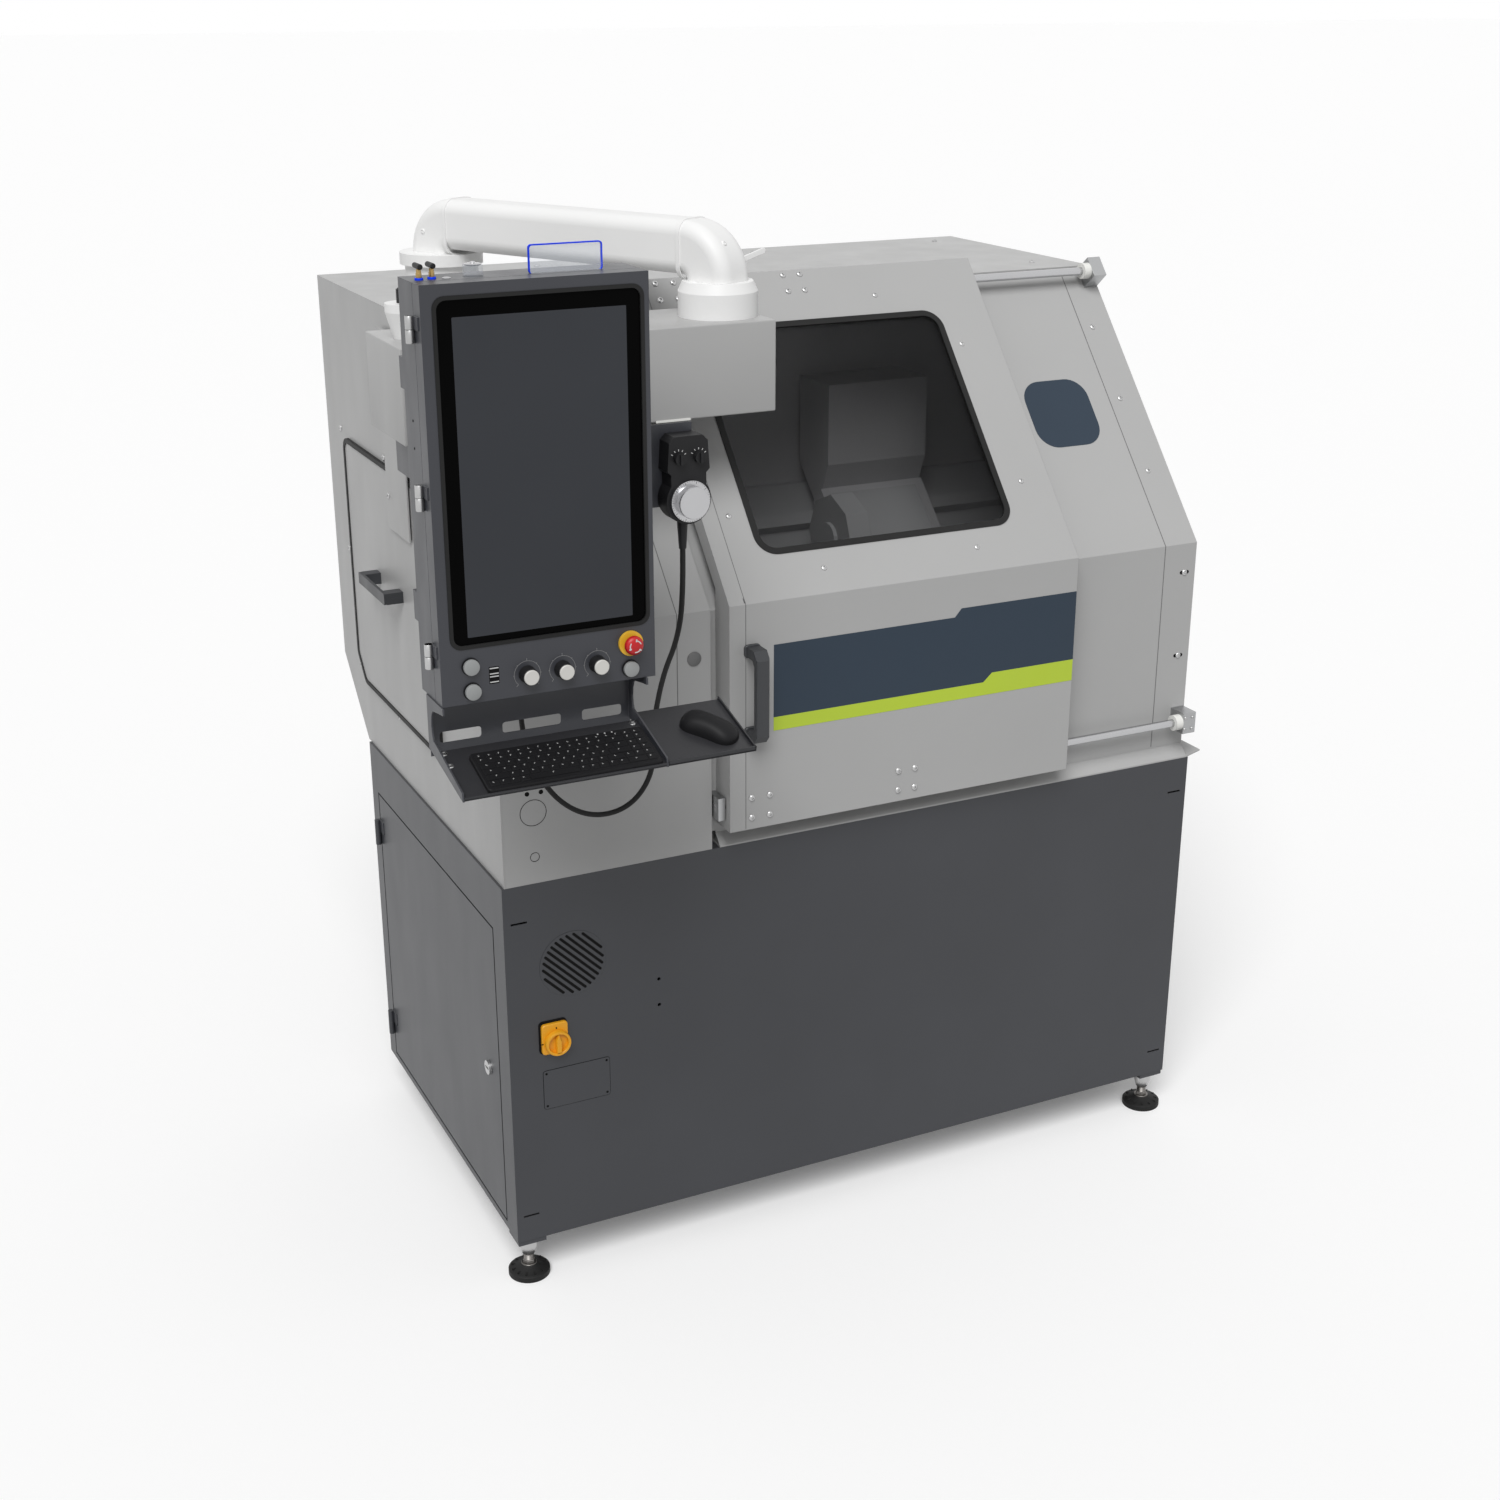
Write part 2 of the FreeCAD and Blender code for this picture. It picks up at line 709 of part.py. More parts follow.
def chip_pan():
    points = [
        ("0", "stand_top"),
        ("0", FLOOR_TOP),
        ("wall_front", WALL_BASE + " - sheet"),
        ("wall_front", WALL_BASE),
        ("wall_front + sheet", WALL_BASE),
        ("wall_front + sheet", WALL_BASE + " - sheet - 1.5"),
        ("4", FLOOR_TOP),
        ("pan_back", FLOOR_TOP),
        ("pan_back", "stand_top"),
    ]
    tray = plate("pan_tray", "YZ", points, "enclosure_right - pan_left", ("pan_left", "0", "0"))
    lip = [
        ("enclosure_right", "stand_top"),
        ("drip_right", "stand_top + drip_rise"),
        ("drip_right", "stand_top + drip_rise + sheet"),
        ("enclosure_right", FLOOR_TOP),
    ]
    return join("pan_sheet", tray, plate("pan_lip", "XZ", lip, "pan_back"))


right_left = "enclosure_right - sheet"
front = "wall_front + sheet"
right_end = end_wall("right_end", right_left, front, WALL_INNER_Z, WALL_INNER_TOP_Y, FLOOR_TOP)
keep("enclosure_rear", join("rear_and_right", rear_wall(), right_end))
keep("headstock_cover", headstock_cover())
keep("front_wall", group("front_sheets", front_wall(), corner_strip()))
keep("roof_panel", roof_panel())
back_corner = (CHAMBER_LEFT, "chamber_back", FLOOR_TOP)
back_size = ("enclosure_right - cover_right - 2 * sheet", "sheet", "roof_top - stand_top - 2 * sheet")
keep("chamber_walls", join("inner_sheets", bulkhead(), box("back_sheet", back_corner, back_size)))
keep("chip_pan", chip_pan())

# ------------------------------------------------- hatch and plate, left wall


HATCH = [
    ("hatch_front", "hatch_base"),
    ("hatch_back - 45", "hatch_base"),
    ("hatch_back", "hatch_base + 50"),
    ("hatch_back", "hatch_top"),
    ("hatch_front", "hatch_top"),
]


def hatch_handle():
    out = "enclosure_left - hatch_thick"
    start = "hatch_handle_y - hatch_handle_length / 2"
    bar = rounded(
        "strap_bar",
        (out + " - hatch_handle_out", start, "hatch_handle_z - 11"),
        ("6", "hatch_handle_length", "22"),
        "2.5",
        "x",
    )
    pieces = [bar]
    for tag, y in (("front", start), ("rear", start + " + hatch_handle_length - 26")):
        corner = (out + " - hatch_handle_out + 6", y, "hatch_handle_z - 11")
        pieces.append(box("strap_foot_" + tag, corner, ("hatch_handle_out - 6", "26", "22")))
    return join("strap_handle", *pieces)


def side_plate():
    out = "enclosure_left - hatch_thick - sheet"
    size = ("sheet", "side_plate_back - side_plate_front", "side_plate_top - side_plate_base")
    skin = box("side_skin", (out + " - sheet", "side_plate_front", "side_plate_base"), size)
    start = (out, "side_plate_back - 12", "side_plate_top - 70")
    high = rod("side_spacer_high", start, "8", "hatch_thick + sheet", "x")
    low = rod("side_spacer_low", (out, "side_plate_back - 14", "side_plate_base + 65"), "8", "sheet", "x")
    return join("side_duct_plate", skin, high, low)


left_end = end_wall("left_end", "enclosure_left", "0", "cover_crease_z", COVER_TOP_Y, "stand_top")
keep("enclosure_left_wall", join("left_end_whole", left_end, side_plate()))
hatch_corner = ("enclosure_left - hatch_thick", "0", "0")
keep("side_hatch", plate("hatch_sheet", "YZ", HATCH, "hatch_thick", hatch_corner))
keep("hatch_handle", hatch_handle())

# ----------------------------------------------------------- the sliding door
DOOR_WIDTH = "door_right - door_left"
HIGH_Y, HIGH_Z = on_slope("door_front", "door_crease_z", "high_rail_along", "-rail_depth")


def door_block(name, left, along, out, size, radius=None):
    """A block laid on the slope of the door: along X, up the slope, and out from its face."""
    y, z = on_slope("door_front", "door_crease_z", along, out)
    if radius is None:
        return box(name, (left, y, z), size, "wall_slope")
    return rounded(name, (left, y, z), size, radius, "z", "wall_slope")


def door_shell():
    points = bent("door_front", DOOR_BASE, "door_crease_z", "door_top", "wall_slope", "sheet")
    skin = plate("door_skin", "YZ", points, DOOR_WIDTH, ("door_left", "0", "0"))
    gap = "wall_front - door_front - 2"
    side = bent("door_front", DOOR_BASE, "door_crease_z", "door_top", "wall_slope", gap)
    flange = plate("door_side_flange", "YZ", side, "sheet", ("door_left", "0", "0"))
    corner = ("door_left", "door_front", DOOR_BASE)
    low = box("door_low_flange", corner, (DOOR_WIDTH, "door_flange", "sheet"))
    top_along = "(door_top - door_crease_z) / sin(wall_slope) - sheet"
    size = (DOOR_WIDTH, "sheet", "door_flange")
    top = door_block("door_top_flange", "door_left", top_along, "-door_flange", size)
    whole = join("door_folds", skin, flange, low, top)
    window = door_block(
        "window_hole", "window_left", "window_start", "-sheet - 5",
        ("window_width", "window_length", "sheet + 10"), "window_corner",
    )
    holes = [window]
    for tag, y, z in (("low", "door_front + rail_depth", LOW_RAIL_Z), ("high", HIGH_Y, HIGH_Z)):
        holes.append(rod(tag + "_rail_hole", ("door_left - 5", y, z), "rail_radius + 6", "20", "x"))
    relief = on_slope("door_front", "door_crease_z", "-4", "-sheet - 3")
    holes.append(box("crease_slot", ("door_left + 30", relief[0], relief[1]), ("3", "16", "16")))
    return cut("door_sheet", whole, *holes)


def door_window():
    corner = "window_start - seal_width"
    size = ("window_width + 2 * seal_width", "window_length + 2 * seal_width", "glass_thick")
    return door_block("window_pane", "window_left - seal_width", corner, "-sheet - glass_thick", size)


def window_seal():
    ring = door_block(
        "seal_outer", "window_left", "window_start", "-sheet",
        ("window_width", "window_length", "sheet + 2"), "window_corner",
    )
    size = ("window_width - 2 * seal_width", "window_length - 2 * seal_width", "sheet + 4")
    hole = door_block(
        "seal_inner", "window_left + seal_width", "window_start + seal_width", "-sheet - 1",
        size, "window_corner - seal_width",
    )
    return cut("seal_ring", ring, hole)


def door_handle():
    out = "door_front - handle_out"
    left = "handle_x - handle_width / 2"
    body = plate(
        "handle_bow", "YZ",
        [
            ("door_front", "handle_base"),
            (out + " + 14", "handle_base"),
            (out, "handle_base + 16"),
            (out, "handle_base + handle_length - 16"),
            (out + " + 14", "handle_base + handle_length"),
            ("door_front", "handle_base + handle_length"),
            ("door_front", "handle_base + handle_length - 18"),
            (out + " + handle_bar + 8", "handle_base + handle_length - 18"),
            (out + " + handle_bar", "handle_base + handle_length - 28"),
            (out + " + handle_bar", "handle_base + 28"),
            (out + " + handle_bar + 8", "handle_base + 18"),
            ("door_front", "handle_base + 18"),
        ],
        "handle_width", (left, "0", "0"),
    )
    front = amount(out)

    def outside(edge):
        middle = edge.CenterOfMass
        flat = abs(edge.tangentAt(edge.FirstParameter).x) < 0.01
        return flat and middle.y < front + 0.5

    return round_edges(body, "handle_round", "4", outside)


def bearing(name, x, high):
    left = x + " - bearing_width / 2"
    if high:
        block = door_block(
            name + "_block", left, "high_rail_along - bearing_span / 2", "-sheet - bearing_depth",
            ("bearing_width", "bearing_span", "bearing_depth"),
        )
        y, z = HIGH_Y, HIGH_Z
    else:
        corner = (left, "door_front + sheet", LOW_RAIL_Z + " - bearing_span / 2")
        block = box(name + "_block", corner, ("bearing_width", "bearing_depth", "bearing_span"))
        y, z = "door_front + rail_depth", LOW_RAIL_Z
    bore = rod(name + "_bore", (left + " - 1", y, z), "rail_radius + bore_gap", "bearing_width + 2", "x")
    return cut(name, block, bore)


def rail_clamp(name, left, width, high):
    """A split block that holds one end of a rail to the wall."""
    if high:
        shift = "(door_front - wall_front) * cos(wall_slope)"
        shift += " + (door_crease_z - wall_crease_z) * sin(wall_slope)"
        along = "high_rail_along + %s - clamp_span / 2" % shift
        y, z = on_slope("wall_front", "wall_crease_z", along, "0")
        block = box(name + "_block", (left, y, z), (width, "clamp_span", "clamp_out"), "wall_slope")
        y, z = HIGH_Y, HIGH_Z
    else:
        corner = (left, "wall_front - clamp_out", LOW_RAIL_Z + " - clamp_span / 2")
        block = box(name + "_block", corner, (width, "clamp_out", "clamp_span"))
        y, z = "door_front + rail_depth", LOW_RAIL_Z
    bore = rod(name + "_bore", (left + " - 1", y, z), "rail_radius", width + " + 2", "x")
    return cut(name, block, bore)


def bumper(name, y, z):
    start = "clamp_left - bumper_length"
    ring = rod(name + "_ring", (start, y, z), "bumper_radius", "bumper_length", "x")
    bore = rod(name + "_bore", (start + " - 1", y, z), "rail_radius", "bumper_length + 2", "x")
    return cut(name, ring, bore)


keep("door_shell", door_shell())
keep("door_window", door_window())
keep("window_seal", window_seal())
keep("door_handle", door_handle())
bearings = [
    bearing("low_bearing_left", "door_left + bearing_first", False),
    bearing("low_bearing_right", "door_left + bearing_first + bearing_pitch", False),
    bearing("high_bearing_left", "door_left + bearing_first", True),
    bearing("high_bearing_right", "door_left + bearing_first + bearing_pitch", True),
]
keep("door_bearings", group("bearing_set", *bearings))
RAIL_LENGTH = "rail_right - rail_left"
low_start = ("rail_left", "door_front + rail_depth", LOW_RAIL_Z)
rails = [rod("low_rail", low_start, "rail_radius", RAIL_LENGTH, "x")]
rails.append(rod("high_rail", ("rail_left", HIGH_Y, HIGH_Z), "rail_radius", RAIL_LENGTH, "x"))
keep("door_rails", group("rail_pair", *rails))
clamps = [
    rail_clamp("low_clamp_right", "clamp_left", "clamp_width", False),
    rail_clamp("high_clamp_right", "clamp_left", "clamp_width", True),
    rail_clamp("low_clamp_left", "rail_left", "end_clamp_width", False),
    rail_clamp("high_clamp_left", "rail_left", "end_clamp_width", True),
]
keep("rail_clamps", group("clamp_set", *clamps))
low_bumper = bumper("low_bumper", "door_front + rail_depth", LOW_RAIL_Z)
keep("rail_bumpers", group("bumper_pair", low_bumper, bumper("high_bumper", HIGH_Y, HIGH_Z)))

# ---------------------------------------------------- arm, carrier and clamp
ELBOW_X = "arm_x + arm_reach * cos(arm_turn)"
ELBOW_Y = "arm_y + arm_reach * sin(arm_turn)"


def arm_pedestal():
    rise = "elbow_z - ring_height - roof_top"
    post = rod("pedestal_post", ("arm_x", "arm_y", "roof_top"), "pedestal_radius", rise)
    start = ("arm_x", "arm_y", "elbow_z - ring_height")
    ring = rod("pedestal_collar", start, "pedestal_ring", "ring_height")
    return join("pedestal", post, ring)


def rounded_outline(body, name, left, right, low, high, radius):
    """A rounded rectangle on the XY plane of a body, all of it bound to the sheet."""
    sketch = body.newObject("Sketcher::SketchObject", name)
    for feature in body.Origin.OriginFeatures:
        if feature.Role == "XY_Plane":
            sketch.AttachmentSupport = [(feature, "")]
    sketch.MapMode = "FlatFace"
    x0, x1, y0, y1, r = (amount(text) for text in (left, right, low, high, radius))
    corners = [(x1 - r, y0 + r, -90), (x1 - r, y1 - r, 0), (x0 + r, y1 - r, 90), (x0 + r, y0 + r, 180)]
    ends = [((x0 + r, y0), (x1 - r, y0)), ((x1, y0 + r), (x1, y1 - r)), ((x1 - r, y1), (x0 + r, y1))]
    ends.append(((x0, y1 - r), (x0, y0 + r)))
    for start, stop in ends:
        sketch.addGeometry(Part.LineSegment(FreeCAD.Vector(*start, 0), FreeCAD.Vector(*stop, 0)), False)
    for across, up, turn in corners:
        circle = Part.Circle(FreeCAD.Vector(across, up, 0), Z, r)
        arc = Part.ArcOfCircle(circle, math.radians(turn), math.radians(turn + 90))
        sketch.addGeometry(arc, False)
    for index in range(4):
        sketch.addConstraint(Sketcher.Constraint("Tangent", index, 2, index + 4, 1))
        sketch.addConstraint(Sketcher.Constraint("Tangent", index + 4, 2, (index + 1) % 4, 1))
        sketch.addConstraint(Sketcher.Constraint("Vertical" if index % 2 else "Horizontal", index))
    for index in range(3):
        sketch.addConstraint(Sketcher.Constraint("Equal", 4, index + 5))
    bound = [("DistanceX", 3, left, x0), ("DistanceX", 1, right, x1)]
    bound += [("DistanceY", 0, low, y0), ("DistanceY", 2, high, y1)]
    for kind, line, text, value in bound:
        number = sketch.addConstraint(Sketcher.Constraint(kind, -1, 1, line, 1, value))
        sketch.setExpression("Constraints[%d]" % number, named(text))
    number = sketch.addConstraint(Sketcher.Constraint("Radius", 4, r))
    sketch.setExpression("Constraints[%d]" % number, named(radius))
    return sketch


def elbow(tag, x, y, turn):
    """A quarter bend of the arm, from level down to upright, turned about its inner corner."""
    body = doc.addObject("PartDesign::Body", "elbow_" + tag)
    far = "-arm_height - elbow_gap"
    name = "elbow_outline_" + tag
    profile = rounded_outline(
        body, name, far, "-elbow_gap", "-arm_half_width", "arm_half_width", "arm_round"
    )
    bend = body.newObject("PartDesign::Revolution", "elbow_bend_" + tag)
    bend.Profile = profile
    for feature in body.Origin.OriginFeatures:
        if feature.Role == "Y_Axis":
            bend.ReferenceAxis = (feature, [""])
    bend.Angle = 90
    return place(body, (x, y, "elbow_z"), turn, Z)


def arm():
    """A level tube between two quarter bends."""
    bend = "(arm_height / 2 + elbow_gap)"
    corner = (
        "arm_x + %s * cos(arm_turn) + arm_half_width * sin(arm_turn)" % bend,
        "arm_y + %s * sin(arm_turn) - arm_half_width * cos(arm_turn)" % bend,
        "elbow_z + elbow_gap",
    )
    size = ("arm_reach - 2 * %s" % bend, "2 * arm_half_width", "arm_height")
    tube = rounded("arm_tube", corner, size, "arm_round", "x", "arm_turn", Z)
    rear_x = "arm_x + %s * cos(arm_turn)" % bend
    rear_y = "arm_y + %s * sin(arm_turn)" % bend
    front_x = "arm_x + (arm_reach - %s) * cos(arm_turn)" % bend
    front_y = "arm_y + (arm_reach - %s) * sin(arm_turn)" % bend
    front = elbow("front", front_x, front_y, "arm_turn + 180")
    return join("arm_casting", tube, elbow("rear", rear_x, rear_y, "arm_turn"), front)


def carrier_ring():
    rise = "elbow_z - bevel_height - carrier_top"
    drum = rod("ring_drum", (ELBOW_X, ELBOW_Y, "carrier_top"), "pedestal_radius", rise)
    start = (ELBOW_X, ELBOW_Y, "elbow_z - bevel_height")
    bevel = taper("ring_bevel", start, "pedestal_radius", "elbow_radius", "bevel_height")
    return join("ring_turned", drum, bevel)


def carrier_box():
    size = ("carrier_right - carrier_left", "carrier_depth", "carrier_top - carrier_base")
    corner = ("carrier_left", "carrier_front", "carrier_base")
    return rounded("carrier_case", corner, size, "carrier_round", "y")


def carrier_clamp():
    stem = taper("clamp_stem", ("clamp_x", "clamp_y", "carrier_top"), "18", "clamp_radius", "clamp_stem")
    start = ("clamp_x", "clamp_y", "carrier_top + clamp_stem")
    ring = rod("clamp_ring", start, "clamp_radius", "clamp_ring")
    return join("clamp_turned", stem, ring)


def clamp_lever():
    base = "carrier_top + clamp_stem + clamp_ring"
    hub = rod("lever_hub", ("clamp_x", "clamp_y", base), "10", "22")
    bar = prism("lever_bar", ("clamp_x", "clamp_y", base + " + 14"), "5", "lever_length", 8, "x")
    start = ("clamp_x + lever_length - 12", "clamp_y", base + " + 14")
    return join("lever_black", hub, bar, prism("lever_knob", start, "8", "24", 8, "x"))


keep("arm_pedestal", arm_pedestal())
keep("arm", arm())
keep("carrier_box", carrier_box())
keep("carrier_collars", group("collar_pair", carrier_ring(), carrier_clamp()))
keep("clamp_lever", clamp_lever())

# ---------------------------------------------------------------- the console
CONSOLE_WIDTH = "console_right - console_left"
CONSOLE_INNER = "console_right - console_left - 2 * sheet"
CONSOLE_RISE = "console_top - console_base"
BEZEL_CORNER = ("console_left + bezel_hinge_margin", "console_base + control_strip")
BEZEL_WIDTH = "console_right - console_left - bezel_hinge_margin - bezel_free_margin"
BEZEL_HEIGHT = "console_top - console_base - bezel_margin - control_strip"
HINGE_STARTS = (
    "console_base + 54",
    "console_base + (console_top - console_base) / 2 - 16",
    "console_top - 85",
)
CABLE_END_X = "pendant_x - 226"
CABLE_END_Z = "console_base + 30"
HINGE_AXIS_X = "console_left - hinge_gap - hinge_radius"


def console_hanger():
    base = "carrier_base - hanger_drop"
    hub = rod("hanger_hub", ("clamp_x", "clamp_y", base), "hanger_width / 2", "hanger_drop")
    corner = ("clamp_x - hanger_width / 2", "console_back", base)
    size = ("hanger_width", "clamp_y - console_back", "hanger_drop - 6")
    beam = box("hanger_beam", corner, size)
    corner = ("clamp_x - hanger_width", "console_back", base + " - 18")
    flange = box("hanger_flange", corner, ("2 * hanger_width", "8", "hanger_drop + 30"))
    return join("hanger", hub, beam, flange)


def console_box():
    outer = box(
        "console_outer",
        ("console_left", "console_split + 1", "console_base"),
        (CONSOLE_WIDTH, "console_back - console_split - 1", CONSOLE_RISE),
    )
    inner = box(
        "console_inner",
        ("console_left + sheet", "console_split - 2", "console_base + sheet"),
        (CONSOLE_INNER, "console_back - console_split + 2 - sheet", CONSOLE_RISE + " - 2 * sheet"),
    )
    case = cut("console_case", outer, inner)
    hooks = []
    for number, base in enumerate(("console_top - 163", "console_base + 109")):
        corner = ("console_left", "console_back - 1", base)
        hooks.append(box("cable_hook_%d" % number, corner, ("12", "19", "47")))
    return join("console_case_hooked", case, *hooks)


def pendant_holder():
    web = box(
        "holder_web",
        ("console_right", "pendant_back", "pendant_base + 23"),
        ("pendant_x + pendant_width / 2 - 14 - console_right", "sheet", "131"),
    )
    corner = ("console_right", "pendant_back - 26", "pendant_base + 23")
    foot = box("holder_foot", corner, ("sheet", "52", "131"))
    return join("holder_sheet", web, foot)


def knuckle_half(tag, start, moving):
    """Half of one hinge: the upper half turns with the front, the lower half stays."""
    up = start + " + console_hinge_length / 2 + split_gap" if moving else start
    rise = "console_hinge_length / 2 - split_gap" if moving else "console_hinge_length / 2"
    barrel = rod("barrel_" + tag, (HINGE_AXIS_X, "console_split + 0.5", up), "hinge_radius", rise)
    y = "console_split - 22.5" if moving else "console_split + 1"
    leaf = box("leaf_" + tag, ("console_left - 2", y, up), ("2", "22", rise))
    y = "console_split - 2.5" if moving else "console_split + 1"
    bridge = box("bridge_" + tag, (HINGE_AXIS_X, y, up), ("hinge_gap + hinge_radius - 1", "3", rise))
    return join("knuckle_" + tag, barrel, leaf, bridge)


def console_front():
    outer = box(
        "front_outer",
        ("console_left", "console_front", "console_base"),
        (CONSOLE_WIDTH, "console_split - console_front", CONSOLE_RISE),
    )
    inner = box(
        "front_inner",
        ("console_left + sheet", "console_front + sheet", "console_base + sheet"),
        (CONSOLE_INNER, "console_split - console_front", CONSOLE_RISE + " - 2 * sheet"),
    )
    corner = (BEZEL_CORNER[0], "console_front - 1", BEZEL_CORNER[1])
    size = (BEZEL_WIDTH, "sheet + 2", BEZEL_HEIGHT)
    hole = rounded("bezel_hole", corner, size, "bezel_corner", "y")
    holes = [inner, hole]
    for name, x, z in BUTTONS:
        side = "button_stem + 2 * button_gap"
        corner = ("%s - (%s) / 2" % (x, side), "console_front - 1", "%s - (%s) / 2" % (z, side))
        holes.append(box(name + "_hole", corner, (side, "sheet + 2", side)))
    return cut("front_tray", outer, *holes)


def display():
    corner = (BEZEL_CORNER[0], "console_front + 2", BEZEL_CORNER[1])
    return rounded("display_case", corner, (BEZEL_WIDTH, "24", BEZEL_HEIGHT), "bezel_corner", "y")


def push_button(name, x, z):
    """A sprung button whose stem runs through the panel."""
    cap = rod(name + "_cap", (x, "console_front - button_out", z), "button_radius", "button_out - 3.5", "y")
    corner = (x + " - button_stem / 2", "console_front - 4", z + " - button_stem / 2")
    stem = box(name + "_stem", corner, ("button_stem", "sheet + 10", "button_stem"))
    return join(name + "_body", cap, stem)


def dial(name, x, z):
    """A turned knob with a skirt, a grip and a flat pointer rib."""
    skirt = rod(name + "_skirt", (x, "console_front - 6", z), "dial_radius", "6", "y")
    start = (x, "console_front - dial_out", z)
    grip = prism(name + "_grip", start, "dial_radius - 4", "dial_out - 5", 12, "y")
    corner = (x + " - 1.5", "console_front - dial_out - 1.5", z)
    rib = box(name + "_rib", corner, ("3", "4", "dial_radius - 6"))
    return join(name + "_body", skirt, grip, rib)


BUTTONS = [
    ("start_button", "console_left + 47", "console_base + control_strip * 0.66"),
    ("hold_button", "console_left + 48", "console_base + control_strip * 0.22"),
    ("reset_button", "console_right - 43", "console_base + control_strip * 0.21"),
    ("stop_button", "console_right - 42", "console_base + control_strip * 0.67"),
]

keep("console_hanger", console_hanger())
fixed = [knuckle_half("fixed_%d" % n, start, False) for n, start in enumerate(HINGE_STARTS)]
moving = [knuckle_half("moving_%d" % n, start, True) for n, start in enumerate(HINGE_STARTS)]
gland = rod("gland", (CABLE_END_X, "console_back", CABLE_END_Z), "9", "14", "y")
keep("console_box", join("case_hinged", console_box(), gland, pendant_holder(), *fixed))
keep("console_front", join("front_hinged", console_front(), *moving))
keep("display_module", display())
for name, x, z in BUTTONS[:3]:
    keep(name, push_button(name, x, z))


def stop_button():
    """A mushroom head on a square stem."""
    x, z = BUTTONS[3][1:]
    corner = (x + " - button_stem / 2", "console_front - 18", z + " - button_stem / 2")
    stem = box("stop_stem", corner, ("button_stem", "18 + sheet + 8", "button_stem"))
    cap = rod("stop_cap", (x, "console_front - 30", z), "stop_radius", "13", "y")
    return join("stop_mushroom", stem, cap)


def stop_ring():
    x, z = BUTTONS[3][1:]
    side = "button_stem + 2 * button_gap"
    disc = rod("stop_ring_disc", (x, "console_front - 5", z), "stop_radius + 5", "5", "y")
    corner = ("%s - (%s) / 2" % (x, side), "console_front - 6", "%s - (%s) / 2" % (z, side))
    return cut("stop_collar", disc, box("stop_ring_hole", corner, (side, "7", side)))


keep("stop_button", stop_button())
keep("stop_ring", stop_ring())
for number, name in enumerate(("feed_dial", "rapid_dial", "speed_dial")):
    x = "console_left + dial_first + %d * dial_pitch" % number
    keep(name, dial(name, x, "console_base + control_strip * 0.38"))

valves = []
for tag, x, y in (("left", "console_left + 17", "-288"), ("right", "console_left + 37", "-285")):
    stem = prism("valve_stem_" + tag, (x, y, "console_top"), "7.5", "14", 6)
    head = rod("valve_head_" + tag, (x, y, "console_top + 14"), "5", "12")
    valves.append(join("valve_" + tag, stem, head))
    grip = box("valve_grip_" + tag, (x + " - 3", y + " - 4", "console_top + 26"), ("6", "22", "6"))
    keep("valve_lever_" + tag, grip)
keep("air_valves", group("valve_pair", *valves))
lamp = rod("lamp", ("console_left + 81", "-288", "console_top"), "14", "18")
sign_corner = ("console_left + 182", "-292", "console_top")
sign = box("sign", sign_corner, ("sign_width", "4", "sign_height"))
keep("clear_fittings", group("lamp_and_sign", lamp, sign))

# ---------------------------------------------- keyboard tray and mouse shelf
TRAY_BASE = "tray_top - sheet"


def keyboard_tray():
    width = "tray_right - tray_left"
    corner = ("tray_left", "tray_front", TRAY_BASE)
    floor = box("tray_floor", corner, (width, "tray_back - tray_front", "sheet"))
    lip = box("tray_lip", corner, (width, "sheet", "18"))
    cheek = [
        ("tray_back", TRAY_BASE),
        ("tray_back", "tray_top + 12"),
        ("console_back - 3", "tray_top + 40"),
        ("console_back - 3", "console_base"),
        ("console_split + 2", "console_base"),
        ("console_split + 2", "console_base - 4"),
        ("console_front - 10", "console_base - 4"),
        ("console_front + 30", "console_base - 42"),
        ("console_front + 36", "tray_top + 44"),
        ("console_front", "tray_top + 12"),
        ("tray_front", "tray_top + 12"),
        ("tray_front", TRAY_BASE),
    ]
    left = plate("tray_left_cheek", "YZ", cheek, "sheet", ("tray_left", "0", "0"))
    right = plate("tray_right_cheek", "YZ", cheek, "sheet", ("tray_right - sheet", "0", "0"))
    corner = ("tray_left", "console_back - 6", "tray_top")
    back = box("tray_back_web", corner, (width, "sheet", "console_base - tray_top"))
    tools = []
    for number, start in enumerate(("tray_left + 40", "tray_left + 175")):
        size = ("115", "sheet + 4", "66")
        tools.append(box("web_window_%d" % number, (start, "console_back - 8", "tray_top + 28"), size))
    return cut("tray_sheet", join("tray_folds", floor, lip, left, right, back), *tools)


def mouse_shelf():
    size = ("shelf_right - tray_right", "240", "sheet")
    floor = box("shelf_floor", ("tray_right", "tray_front + 6", TRAY_BASE), size)
    end = box("shelf_end_lip", ("shelf_right - sheet", "tray_front + 6", TRAY_BASE), ("sheet", "240", "14"))
    front = box("shelf_front_lip", ("tray_right", "tray_front + 6", TRAY_BASE), (size[0], "sheet", "14"))
    return join("shelf_sheet", floor, end, front)


def keyboard():
    wedge = [
        ("0", "0"),
        ("keyboard_depth", "0"),
        ("keyboard_depth", "keyboard_thick + 6"),
        ("keyboard_depth - 10", "keyboard_thick + 6"),
        ("0", "keyboard_thick - 4"),
    ]
    corner = ("keyboard_x - keyboard_length / 2", "keyboard_y - keyboard_depth / 2", "tray_top")
    slab = doc.addObject("PartDesign::Body", "keyboard_slab")
    sketch = outline(slab, "keyboard_outline", "YZ", wedge)
    pad = slab.newObject("PartDesign::Pad", "keyboard_pad")
    pad.Profile = sketch
    pad.setExpression("Length", named("keyboard_length"))
    place(slab, corner, "keyboard_turn", Z)
    return slab


